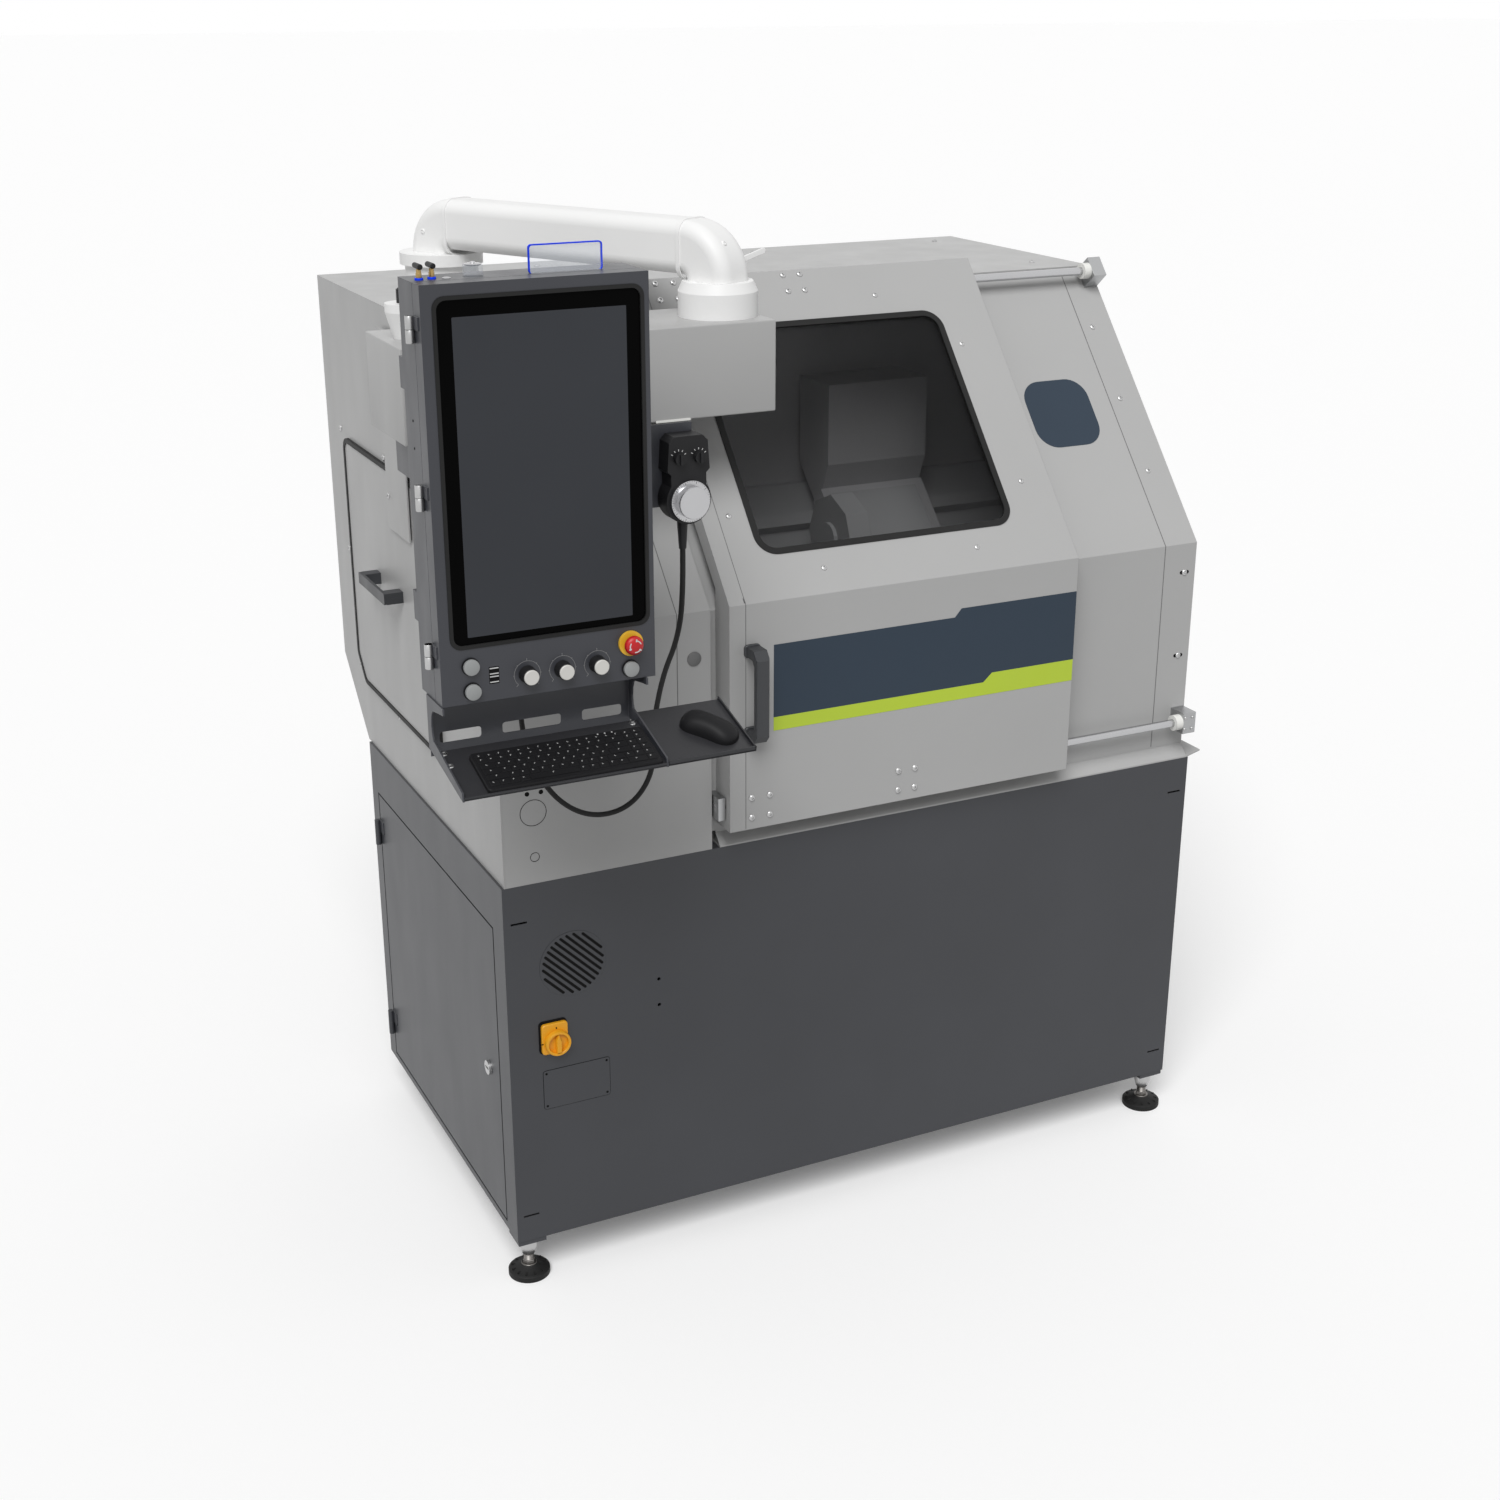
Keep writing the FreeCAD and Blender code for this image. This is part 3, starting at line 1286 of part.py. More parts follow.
def mouse():
    corner = ("mouse_x - mouse_width / 2", "mouse_y - mouse_length / 2", "tray_top")
    points = [
        ("0", "mouse_length * 0.2"),
        ("mouse_width * 0.2", "0"),
        ("mouse_width * 0.8", "0"),
        ("mouse_width", "mouse_length * 0.2"),
        ("mouse_width * 0.94", "mouse_length * 0.85"),
        ("mouse_width * 0.75", "mouse_length"),
        ("mouse_width * 0.25", "mouse_length"),
        ("mouse_width * 0.06", "mouse_length * 0.85"),
    ]
    body = plate("mouse_case", "XY", points, "mouse_height", corner)
    doc.recompute()
    last = body.Tip
    rim = ["Edge%d" % (index + 1) for index, edge in enumerate(last.Shape.Edges) if edge.BoundBox.ZMin > 5]
    bevel = body.newObject("PartDesign::Chamfer", "mouse_bevel")
    bevel.Base = (last, rim)
    bevel.setExpression("Size", named("mouse_height * 0.4"))
    return body


keep("keyboard_tray", join("tray_and_shelf", keyboard_tray(), mouse_shelf()))
keep("keyboard", keyboard())
keep("mouse", mouse())

# -------------------------------------------------------------- hand pendant
PENDANT_FRONT = "pendant_back - pendant_depth"


def pendant_body():
    """A waisted case: a round lobe behind the wheel, a neck, and a head with bevelled shoulders."""
    start = ("pendant_x", PENDANT_FRONT, "wheel_z")
    lobe = rod("pendant_lobe", start, "wheel_radius + 5", "pendant_depth", "y")
    half = "pendant_width / 2"
    top = "pendant_base + pendant_height"
    head = [
        ("pendant_x - %s + 6" % half, "wheel_z"),
        ("pendant_x + %s - 6" % half, "wheel_z"),
        ("pendant_x + %s - 6" % half, "wheel_z + 42"),
        ("pendant_x + %s" % half, "wheel_z + 48"),
        ("pendant_x + %s - 3" % half, top + " - 9"),
        ("pendant_x + %s - 12" % half, top),
        ("pendant_x - %s + 12" % half, top),
        ("pendant_x - %s + 3" % half, top + " - 9"),
        ("pendant_x - %s" % half, "wheel_z + 48"),
        ("pendant_x - %s + 6" % half, "wheel_z + 42"),
    ]
    case = plate("pendant_case", "XZ", head, "pendant_depth", ("0", PENDANT_FRONT, "0"))
    x, y = "pendant_x - 4", "pendant_back - pendant_depth / 2"
    relief = taper("pendant_relief", (x, y, "pendant_base - 43"), "cable_radius + 1.5", "9", "50")
    return join("pendant_whole", lobe, case, relief)


def handwheel():
    """A scale ring with a raised turning disc in front of it."""
    scale = rod("wheel_scale", ("pendant_x", PENDANT_FRONT + " - 8", "wheel_z"), "wheel_radius", "7.4", "y")
    start = ("pendant_x", PENDANT_FRONT + " - wheel_out", "wheel_z")
    return join("wheel_turned", scale, rod("wheel_disc", start, "wheel_radius - 8", "wheel_out - 8", "y"))


def selector(name, x):
    drum = rod(name + "_drum", (x, PENDANT_FRONT + " - 10", "wheel_z + 68"), "9", "9.6", "y")
    rib = box(name + "_rib", (x + " - 2", PENDANT_FRONT + " - 14", "wheel_z + 60"), ("4", "6", "16"))
    return join(name + "_body", drum, rib)


keep("pendant_body", pendant_body())
keep("handwheel", handwheel())
keep("axis_selector", selector("axis_selector", "pendant_x - 17"))
keep("step_selector", selector("step_selector", "pendant_x + 17"))

# The cable hangs from the pendant, passes behind the mouse shelf and the tray and
# climbs to a gland on the back of the console.
CABLE = [
    ("pendant_x - 4", "pendant_back - pendant_depth / 2", "pendant_base - 43"),
    ("pendant_x - 4", "pendant_back - pendant_depth / 2", "pendant_base - 128"),
    ("pendant_x + 4", "-236", "1326"),
    ("pendant_x + 2", "-180", "1250"),
    ("pendant_x - 10", "-162", "1156"),
    ("pendant_x - 10", "-163", "1070"),
    ("pendant_x - 58", "-166", "1014"),
    ("pendant_x - 132", "-165", "1010"),
    ("pendant_x - 196", "-158", "1058"),
    ("pendant_x - 232", "-140", "1142"),
    ("pendant_x - 234", "-124", "1232"),
    (CABLE_END_X, "console_back + 114", CABLE_END_Z),
    (CABLE_END_X, "console_back + 14", CABLE_END_Z),
]


def cable_path():
    """Straight runs joined by arcs that touch both of their neighbours."""
    spots = []
    for x, y, z in CABLE:
        across = amount("%s - %s" % (x, MIDDLE_X))
        spots.append(FreeCAD.Vector(across, amount("%s - %s" % (y, MIDDLE_Y)), amount(z)))
    edges = []
    length = 0
    start = spots[0]
    for before, corner, after in zip(spots, spots[1:], spots[2:]):
        back = before - corner
        ahead = after - corner
        setback = 0.45 * min(back.Length, ahead.Length)
        back.normalize()
        ahead.normalize()
        half_turn = (math.pi - back.getAngle(ahead)) / 2
        radius = setback / math.tan(half_turn)
        inward = back + ahead
        inward.normalize()
        first = corner + back * setback
        last = corner + ahead * setback
        middle = corner + inward * (radius / math.cos(half_turn) - radius)
        edges.append(Part.LineSegment(start, first).toShape())
        edges.append(Part.Arc(first, middle, last).toShape())
        print("cable bend radius %.1f, turn %.0f" % (radius, math.degrees(2 * half_turn)))
        start = last
    edges.append(Part.LineSegment(start, spots[-1]).toShape())
    return Part.Wire(edges)


def pendant_cable():
    path = doc.addObject("Part::Feature", "cable_path")
    path.Shape = cable_path()
    ring = doc.addObject("Part::RegularPolygon", "cable_section")
    ring.Polygon = 8
    ring.setExpression("Circumradius", named("cable_radius"))
    place(ring, CABLE[0])
    tube = doc.addObject("Part::Sweep", "cable_tube")
    tube.Sections = [ring]
    tube.Spine = (path, ["Edge%d" % (index + 1) for index in range(len(path.Shape.Edges))])
    tube.Solid = True
    tube.Frenet = False
    doc.recompute()
    section = 2 * math.sqrt(2) * amount("cable_radius") ** 2
    print("cable length %.0f, volume over section %.0f" % (path.Shape.Length, tube.Shape.Volume / section))
    return tube


keep("pendant_cable", pendant_cable())

# ----------------------------------------------------- inside the work chamber
def on_bed(up, out):
    """Y and Z of a point on the slanting bed, so far up it and so far out from its face."""
    y = "bed_front + (%s - (%s)) * cos(45)" % (up, out)
    return y, "%s + (%s + %s) * sin(45)" % (BED_BASE, up, out)


def bed_block(name, left, up, out, size):
    y, z = on_bed(up, out)
    return box(name, (left, y, z), size, "45")


def bed():
    points = [
        ("bed_front", FLOOR_TOP),
        ("bed_front", BED_BASE),
        ("bed_front + bed_run", BED_BASE + " + bed_run"),
        ("chamber_back", BED_BASE + " + bed_run"),
        ("chamber_back", FLOOR_TOP),
    ]
    length = "enclosure_right - sheet - (%s)" % CHAMBER_LEFT
    casting = plate("bed_casting", "YZ", points, length, (CHAMBER_LEFT, "0", "0"))
    size = ("guide_length", "guide_width", "guide_height")
    low = bed_block("guide_front", "guide_left", "guide_low", "0", size)
    return join("bed_whole", casting, low, bed_block("guide_rear", "guide_left", "guide_high", "0", size))


def carriage():
    size = ("slide_width", "slide_length", "slide_thick")
    return bed_block("carriage_plate", "slide_left", "slide_up", "guide_height", size)


SLIDE_TOP = "(guide_height + slide_thick)"


def carriage_cover():
    end_y, end_z = on_bed("(slide_up + slide_length)", SLIDE_TOP)
    foot_y, foot_z = on_bed("(slide_up + slide_length)", "guide_height")
    points = [
        (end_y, end_z),
        ("cover_y", "cover_low"),
        ("cover_y", "cover_high"),
        ("chamber_back - 10", "cover_high"),
        ("chamber_back - 10", foot_z + " + chamber_back - 10 - (" + foot_y + ")"),
        (foot_y, foot_z),
    ]
    return plate("slide_cover", "YZ", points, "slide_width - 10", ("slide_left + 5", "0", "0"))


def cross_slide():
    size = ("slide_width - 40", "cross_length", "cross_thick")
    return bed_block("cross_plate", "slide_left - 10", "cross_up", SLIDE_TOP, size)


def tool_turret():
    y, z = on_bed("turret_up", "(guide_height + slide_thick + cross_thick + 20)")
    start = ("slide_left - 10 - turret_width", y, z)
    drum = prism("turret_drum", start, "turret_radius", "turret_width", 8, "x")
    hub = prism("turret_hub", ("slide_left - 18 - turret_width", y, z), "34", "8", 16, "x")
    return join("turret", drum, hub)


def headstock():
    low = " - headstock_side / 2"
    corner = ("cover_right - headstock_width", SPINDLE_Y + low, SPINDLE_Z + low)
    block = box("headstock_block", corner, ("headstock_width", "headstock_side", "headstock_side"))
    start = ("cover_right - headstock_width - 1", SPINDLE_Y, SPINDLE_Z)
    bore = rod("headstock_bore", start, "nose_radius + bore_gap", "headstock_width + 2", "x")
    return cut("headstock_housing", block, bore)


def spindle():
    start = ("cover_right - headstock_width - 10", SPINDLE_Y, SPINDLE_Z)
    nose = rod("spindle_nose", start, "nose_radius", "headstock_width + 48", "x")
    face = ("cover_right + 38", SPINDLE_Y, SPINDLE_Z)
    drum = rod("chuck_drum", face, "chuck_radius", "chuck_width", "x")
    start = ("cover_right + 60", SPINDLE_Y, SPINDLE_Z)
    bore = prism("chuck_bore", start, "chuck_bore", "chuck_width", 12, "x")
    return cut("chuck", join("chuck_solid", nose, drum), bore)


keep("bed", group("castings", bed(), headstock()))
keep("carriage", join("carriage_whole", carriage(), carriage_cover()))
keep("cross_slide", join("cross_slide_whole", cross_slide(), tool_turret()))
keep("spindle", spindle())

# ------------------------------------------------------------------- finished
doc.recompute()
for piece in doc.Objects:
    if "Invalid" in piece.State or "Error" in piece.State:
        raise RuntimeError("%s did not build: %s" % (piece.Label, piece.State))
for name, piece in nodes.items():
    if piece.Shape.isNull() or not piece.Shape.isValid():
        raise RuntimeError("%s has no valid shape" % name)
os.makedirs("parts", exist_ok=True)
for name, piece in nodes.items():
    piece.Shape.exportStep("parts/%s.step" % name)
print("%d sub-parts written" % len(nodes))
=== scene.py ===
import json
import math
from collections import namedtuple

import bmesh
import bpy
from mathutils import Matrix, Vector


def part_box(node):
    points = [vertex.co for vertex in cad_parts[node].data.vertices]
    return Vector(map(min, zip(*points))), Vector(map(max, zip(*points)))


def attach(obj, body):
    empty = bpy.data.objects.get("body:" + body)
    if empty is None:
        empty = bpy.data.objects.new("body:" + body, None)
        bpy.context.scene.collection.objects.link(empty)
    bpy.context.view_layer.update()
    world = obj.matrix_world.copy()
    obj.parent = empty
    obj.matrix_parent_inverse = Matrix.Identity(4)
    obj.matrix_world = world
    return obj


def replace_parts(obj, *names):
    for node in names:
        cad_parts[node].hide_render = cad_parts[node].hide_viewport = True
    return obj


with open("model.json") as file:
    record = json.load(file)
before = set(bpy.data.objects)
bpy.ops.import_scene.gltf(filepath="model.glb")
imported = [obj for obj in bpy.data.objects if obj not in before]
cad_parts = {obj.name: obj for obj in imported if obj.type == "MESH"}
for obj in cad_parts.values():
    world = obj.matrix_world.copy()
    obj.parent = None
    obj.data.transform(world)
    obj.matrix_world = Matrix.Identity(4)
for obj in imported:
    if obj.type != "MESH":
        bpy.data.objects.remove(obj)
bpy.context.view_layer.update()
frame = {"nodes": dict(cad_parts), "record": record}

# ------------------------------------------------------------------ placement
# Details are laid out in millimetres: X from the middle of the stand, Y from its front, Z from
# the floor.  The row frame is in metres about the whole machine.
STAND_LOW, STAND_HIGH = (corner * 1000 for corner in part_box("stand_front_panel"))
SHIFT_X = (STAND_LOW.x + STAND_HIGH.x) / 2
SHIFT_Y = STAND_LOW.y
WALL_SLOPE = math.radians(49.35)
COVER_SLOPE = math.radians(47.6)
DECK_LEAN = math.radians(16)
COVER_CREASE = 1291.0
WALL_CREASE = 1283.0
DOOR_CREASE = 1305.0
HINGE_REACH = 12.5
RIGHT = Vector((1, 0, 0))
BACK = Vector((0, 1, 0))
UP = Vector((0, 0, 1))
Sides = namedtuple("Sides", "left right front back base top")


def spot(x, y, z):
    """A place in millimetres as a point of the row frame."""
    return Vector(((x + SHIFT_X) / 1000, (y + SHIFT_Y) / 1000, z / 1000))


def sides(node):
    """The sides of a CAD piece's box in millimetres."""
    low, high = (corner * 1000 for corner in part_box(node))
    return Sides(low.x - SHIFT_X, high.x - SHIFT_X, low.y - SHIFT_Y, high.y - SHIFT_Y, low.z, high.z)


def middle(node):
    """Centre of a CAD piece across and up."""
    box = sides(node)
    return (box.left + box.right) / 2, (box.base + box.top) / 2


def face(origin, across, up):
    """A matrix from (across, up, out) in millimetres on a face to the row frame."""
    across, up = Vector(across).normalized(), Vector(up).normalized()
    turn = Matrix((across, up, across.cross(up))).transposed().to_4x4()
    return Matrix.Translation(spot(*origin)) @ turn @ Matrix.Scale(0.001, 4)


def front_face(y):
    return face((0, y, 0), RIGHT, UP)


def top_face(z):
    return face((0, 0, z), RIGHT, BACK)


def left_face(x):
    """Across is the distance in front of the stand's front, up is the height."""
    return face((x, 0, 0), -BACK, UP)


def slope_face(y, z, angle):
    return face((0, y, z), RIGHT, (0, math.cos(angle), math.sin(angle)))


def along(z, crease, angle=WALL_SLOPE):
    """How far up a leaning sheet a height lies."""
    return (z - crease) / math.sin(angle)


STAND_FRONT = front_face(0)
STAND_LEFT = left_face(sides("stand_front_panel").left)
COVER_SLOPE_FACE = slope_face(0, COVER_CREASE, COVER_SLOPE)
WALL_FRONT = front_face(sides("front_wall").front)
WALL_SLOPE_FACE = slope_face(sides("front_wall").front, WALL_CREASE, WALL_SLOPE)
DOOR_FRONT = front_face(sides("door_shell").front)
DOOR_SLOPE_FACE = slope_face(sides("door_shell").front, DOOR_CREASE, WALL_SLOPE)
LEFT_WALL = left_face(sides("side_hatch").right)
SIDE_PLATE = left_face(sides("enclosure_left_wall").left)
ROOF = top_face(sides("roof_panel").top)
CONSOLE_FRONT = front_face(sides("console_front").front)
CONSOLE_LEFT = left_face(sides("console_box").left + HINGE_REACH)
CONSOLE_TOP = top_face(sides("console_box").top)
PENDANT_FRONT = front_face(sides("pendant_body").front)
DECK = slope_face(-418, 1192, DECK_LEAN)


# ------------------------------------------------------------------ materials
def node(tree, kind, x, y, **values):
    made = tree.nodes.new(kind)
    made.location = (x, y)
    for key, value in values.items():
        setattr(made, key, value)
    return made


def noise(tree, coords, scale, detail, x, y, stretch=(1, 1, 1)):
    mapping = node(tree, "ShaderNodeMapping", x - 200, y)
    mapping.inputs["Scale"].default_value = stretch
    tree.links.new(coords, mapping.inputs["Vector"])
    cloud = node(tree, "ShaderNodeTexNoise", x, y)
    cloud.inputs["Scale"].default_value = scale
    cloud.inputs["Detail"].default_value = detail
    cloud.inputs["Roughness"].default_value = 0.55
    tree.links.new(mapping.outputs["Vector"], cloud.inputs["Vector"])
    return cloud.outputs["Fac"]


def spread(tree, value, low, high, x, y, start=0.3, stop=0.7):
    """Maps a value from start..stop to low..high."""
    ramp = node(tree, "ShaderNodeMapRange", x, y)
    ramp.inputs["From Min"].default_value = start
    ramp.inputs["From Max"].default_value = stop
    ramp.inputs["To Min"].default_value = low
    ramp.inputs["To Max"].default_value = high
    tree.links.new(value, ramp.inputs["Value"])
    return ramp.outputs["Result"]


def mixed(tree, value, first, second, x, y):
    """Mixes two colours, each a plain colour or a socket, by a value."""
    blend = node(tree, "ShaderNodeMix", x, y, data_type="RGBA")
    for name, colour in (("A", first), ("B", second)):
        if isinstance(colour, tuple):
            blend.inputs[name].default_value = (*colour, 1)
        else:
            tree.links.new(colour, blend.inputs[name])
    tree.links.new(value, blend.inputs["Factor"])
    return blend.outputs["Result"]


def finish_of(name, colour, rough, metal=0.0, vary=0.06, grain=900.0, bump=0.05, stretch=(1, 1, 1),
              rough_vary=0.06, edge=0.0, dust=0.0, specular=0.5):
    """A painted, moulded or machined surface with slow colour drift, fine grain, handling
    smears, softened edges and a little dust on what faces up."""
    material = bpy.data.materials.new(name)
    material.use_nodes = True
    tree = material.node_tree
    tree.nodes.clear()
    out = node(tree, "ShaderNodeOutputMaterial", 900, 0)
    shader = node(tree, "ShaderNodeBsdfPrincipled", 600, 0)
    tree.links.new(shader.outputs["BSDF"], out.inputs["Surface"])
    coords = node(tree, "ShaderNodeTexCoord", -900, 0).outputs["Object"]
    slow = noise(tree, coords, 3.0, 3.0, -600, 300)
    fine = noise(tree, coords, grain, 2.0, -600, 0, stretch)
    smear = noise(tree, coords, 14.0, 5.0, -600, -300, (1, 1, 0.35))
    light = tuple(min(1.0, part * (1 + vary)) for part in colour)
    dark = tuple(part * (1 - vary) for part in colour)
    tint = mixed(tree, spread(tree, slow, 0, 1, -300, 300), dark, light, 0, 300)
    if dust:
        normal = node(tree, "ShaderNodeNewGeometry", -600, 600).outputs["Normal"]
        split = node(tree, "ShaderNodeSeparateXYZ", -400, 600)
        tree.links.new(normal, split.inputs["Vector"])
        upward = spread(tree, split.outputs["Z"], 0, dust, -200, 600, 0.5, 1.0)
        tint = mixed(tree, upward, tint, (0.50, 0.48, 0.45), 250, 300)
    tree.links.new(tint, shader.inputs["Base Color"])
    gloss = spread(tree, smear, rough - rough_vary, rough + rough_vary, -300, -300)
    tree.links.new(gloss, shader.inputs["Roughness"])
    shader.inputs["Metallic"].default_value = metal
    shader.inputs["Specular IOR Level"].default_value = specular
    relief = node(tree, "ShaderNodeBump", 300, -300)
    relief.inputs["Strength"].default_value = bump
    relief.inputs["Distance"].default_value = 0.0004
    tree.links.new(fine, relief.inputs["Height"])
    if edge:
        rim = node(tree, "ShaderNodeBevel", 0, -500)
        rim.samples = 4
        rim.inputs["Radius"].default_value = edge
        tree.links.new(rim.outputs["Normal"], relief.inputs["Normal"])
    tree.links.new(relief.outputs["Normal"], shader.inputs["Normal"])
    return material


def glass_of(name, colour, rough, alpha):
    """A clear or smoked sheet that lets part of what is behind it through."""
    material = finish_of(name, colour, rough, vary=0.03, grain=40.0, bump=0.0, rough_vary=0.02, specular=0.3)
    shader = next(made for made in material.node_tree.nodes if made.type == "BSDF_PRINCIPLED")
    shader.inputs["Alpha"].default_value = alpha
    return material


SLOTS = {
    "stand_charcoal": finish_of(
        "stand_charcoal", (0.036, 0.038, 0.044), 0.42, vary=0.08, grain=1500, bump=0.10, edge=0.0012,
        dust=0.04, rough_vary=0.02),
    "enclosure_grey": finish_of(
        "enclosure_grey", (0.42, 0.42, 0.418), 0.40, vary=0.02, grain=1300, bump=0.06, edge=0.0012, dust=0.02,
        specular=0.3),
    "console_slate": finish_of(
        "console_slate", (0.036, 0.038, 0.046), 0.40, vary=0.06, grain=1500, bump=0.10, edge=0.0012,
        dust=0.04),
    "arm_white": finish_of(
        "arm_white", (0.85, 0.85, 0.845), 0.42, vary=0.015, grain=700, bump=0.03, edge=0.001, specular=0.3),
    "zinc": finish_of(
        "zinc", (0.48, 0.48, 0.48), 0.34, metal=1.0, vary=0.10, grain=500, bump=0.08, edge=0.0005),
    "steel": finish_of(
        "steel", (0.50, 0.50, 0.51), 0.24, metal=1.0, vary=0.05, grain=900, bump=0.05, stretch=(0.05, 1, 1)),
    "clamp_aluminium": finish_of(
        "clamp_aluminium", (0.40, 0.405, 0.41), 0.38, metal=1.0, vary=0.06, grain=900, bump=0.06,
        edge=0.0006),
    "black_rubber": finish_of(
        "black_rubber", (0.010, 0.010, 0.010), 0.62, vary=0.2, grain=1400, bump=0.12, specular=0.25),
    "black_plastic": finish_of(
        "black_plastic", (0.010, 0.010, 0.011), 0.50, vary=0.15, grain=1700, bump=0.10, edge=0.0008,
        specular=0.25),
    "nylon": finish_of("nylon", (0.80, 0.80, 0.77), 0.42, vary=0.03, grain=800, bump=0.05, edge=0.0008),
    "dark_glass": glass_of("dark_glass", (0.010, 0.010, 0.011), 0.04, 0.20),
    "screen": finish_of(
        "screen", (0.001, 0.001, 0.001), 0.25, vary=0.2, grain=300, bump=0.004, rough_vary=0.03,
        specular=0.03),
    "clear_plastic": glass_of("clear_plastic", (0.80, 0.86, 0.95), 0.05, 0.18),
    "switch_orange": finish_of(
        "switch_orange", (0.80, 0.37, 0.012), 0.40, vary=0.04, grain=900, bump=0.05, edge=0.0008),
    "button_grey": finish_of(
        "button_grey", (0.30, 0.31, 0.31), 0.36, vary=0.04, grain=900, bump=0.05, edge=0.0006),
    "dial_white": finish_of(
        "dial_white", (0.66, 0.65, 0.62), 0.36, vary=0.03, grain=900, bump=0.05, edge=0.0006),
    "button_red": finish_of(
        "button_red", (0.50, 0.006, 0.010), 0.38, vary=0.05, grain=900, bump=0.04, edge=0.0008),
    "button_yellow": finish_of(
        "button_yellow", (0.78, 0.46, 0.03), 0.36, vary=0.05, grain=900, bump=0.05, edge=0.0006),
    "brass": finish_of(
        "brass", (0.42, 0.29, 0.12), 0.30, metal=1.0, vary=0.08, grain=900, bump=0.06, edge=0.0004),
    "casting_grey": finish_of(
        "casting_grey", (0.32, 0.325, 0.33), 0.5, vary=0.10, grain=240, bump=0.25, edge=0.001),
    "cover_dark": finish_of(
        "cover_dark", (0.42, 0.42, 0.43), 0.45, vary=0.08, grain=1100, bump=0.08, edge=0.001),
}
NAVY = finish_of("decal_navy", (0.032, 0.048, 0.070), 0.40, vary=0.03, grain=700, bump=0.03, specular=0.2)
LIME = finish_of("decal_lime", (0.46, 0.60, 0.035), 0.38, vary=0.03, grain=700, bump=0.03)
# Mid grey for butt joints and the plug, and also painted shade: the line along the door's fold.
SEAM_AND_SHADE_GREY = finish_of("seam_and_shade_grey", (0.16, 0.16, 0.16), 0.6, vary=0.05, grain=600, bump=0.03)
# Near black for joints, slots, print and rivets, and also painted shade: the sheet seen through the vent's
# slots, the switch plate's shadow and the line round the blank plate.
DARK_MARK_AND_SHADE = finish_of("dark_mark_and_shade", (0.006, 0.006, 0.006), 0.8, vary=0.1, grain=600, bump=0.05, specular=0.1)
INK = finish_of("print_white", (0.60, 0.60, 0.60), 0.5, vary=0.03, grain=600, bump=0.02)
TRAY_DARK = finish_of(
    "tray_slate", (0.018, 0.0185, 0.022), 0.40, vary=0.06, grain=1500, bump=0.10, edge=0.0012, dust=0.02,
    specular=0.4)
SCALE_GREY = finish_of("print_grey", (0.26, 0.26, 0.26), 0.5, vary=0.03, grain=600, bump=0.02)
BLUE_EDGE = finish_of("edge_blue", (0.004, 0.05, 0.85), 0.5, vary=0.05, grain=600, bump=0.02, specular=0.1)
DISPLAY = finish_of(
    "display_glass", (0.050, 0.053, 0.060), 0.22, vary=0.04, grain=200, bump=0.003, rough_vary=0.02,
    specular=0.05)
KEYS = finish_of("key_plastic", (0.010, 0.010, 0.011), 0.50, vary=0.10, grain=1400, bump=0.08, specular=0.15)
FOOT_STEEL = finish_of("foot_steel", (0.22, 0.21, 0.20), 0.44, metal=1.0, vary=0.08, grain=600, bump=0.08)
GRIP_GREY = finish_of(
    "grip_plastic", (0.032, 0.034, 0.038), 0.45, vary=0.08, grain=1500, bump=0.10, edge=0.0008)
GREY_GRIPS = ("door_handle", "hatch_handle")

slot_of = {row["node"]: row["material_slot"] for row in frame["record"]["subparts"]}
for name, piece in frame["nodes"].items():
    piece.data.materials.clear()
    piece.data.materials.append(GRIP_GREY if name in GREY_GRIPS else SLOTS[slot_of[name]])


# ------------------------------------------------------------- piece building
def make(name, mesh, material, body, smooth=None):
    """Turns a bmesh into a piece that rides on a body."""
    bmesh.ops.recalc_face_normals(mesh, faces=mesh.faces)
    data = bpy.data.meshes.new(name)
    mesh.to_mesh(data)
    mesh.free()
    data.materials.append(SLOTS.get(material) or material)
    piece = bpy.data.objects.new(name, data)
    bpy.context.scene.collection.objects.link(piece)
    if smooth is not None:
        data.shade_smooth()
        data.set_sharp_from_angle(angle=math.radians(smooth))
    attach(piece, body)
    return piece


def outward(matrix, distance):
    """A distance in millimetres along a face's normal, as a step in the row frame."""
    return matrix.to_3x3() @ Vector((0, 0, distance))


def raised(mesh, faces, step):
    """Extrudes faces by a step and returns the faces that moved."""
    edges = dict.fromkeys(edge for made in faces for edge in made.edges)
    grown = bmesh.ops.extrude_face_region(mesh, geom=[*faces, *edges])["geom"]
    points = [part for part in grown if isinstance(part, bmesh.types.BMVert)]
    bmesh.ops.translate(mesh, verts=points, vec=step)
    return [part for part in grown if isinstance(part, bmesh.types.BMFace)]


def lathe(mesh, matrix, at, rings, count=24, hexagon=()):
    """Spins (radius, out) rings about a face's normal; the rings numbered in hexagon are six-sided."""
    before = set(mesh.verts)
    profile = [mesh.verts.new((radius, 0, out)) for radius, out in rings]
    edges = [mesh.edges.new(pair) for pair in zip(profile, profile[1:])]
    bmesh.ops.spin(mesh, geom=profile + edges, axis=UP, angle=math.tau, steps=count, use_merge=True)
    bmesh.ops.holes_fill(mesh, edges=[edge for edge in mesh.edges if edge.is_boundary])
    turned = [vert for vert in mesh.verts if vert not in before]
    cornered = [rings[number] for number in hexagon]
    for vert in turned:
        if any(math.dist((vert.co.xy.length, vert.co.z), ring) < 0.001 for ring in cornered):
            angle = math.atan2(vert.co.y, vert.co.x) % (math.pi / 3) - math.pi / 6
            vert.co.xy *= math.cos(math.pi / 6) / math.cos(angle)
    bmesh.ops.transform(mesh, matrix=matrix @ Matrix.Translation((*at, 0)), verts=turned)


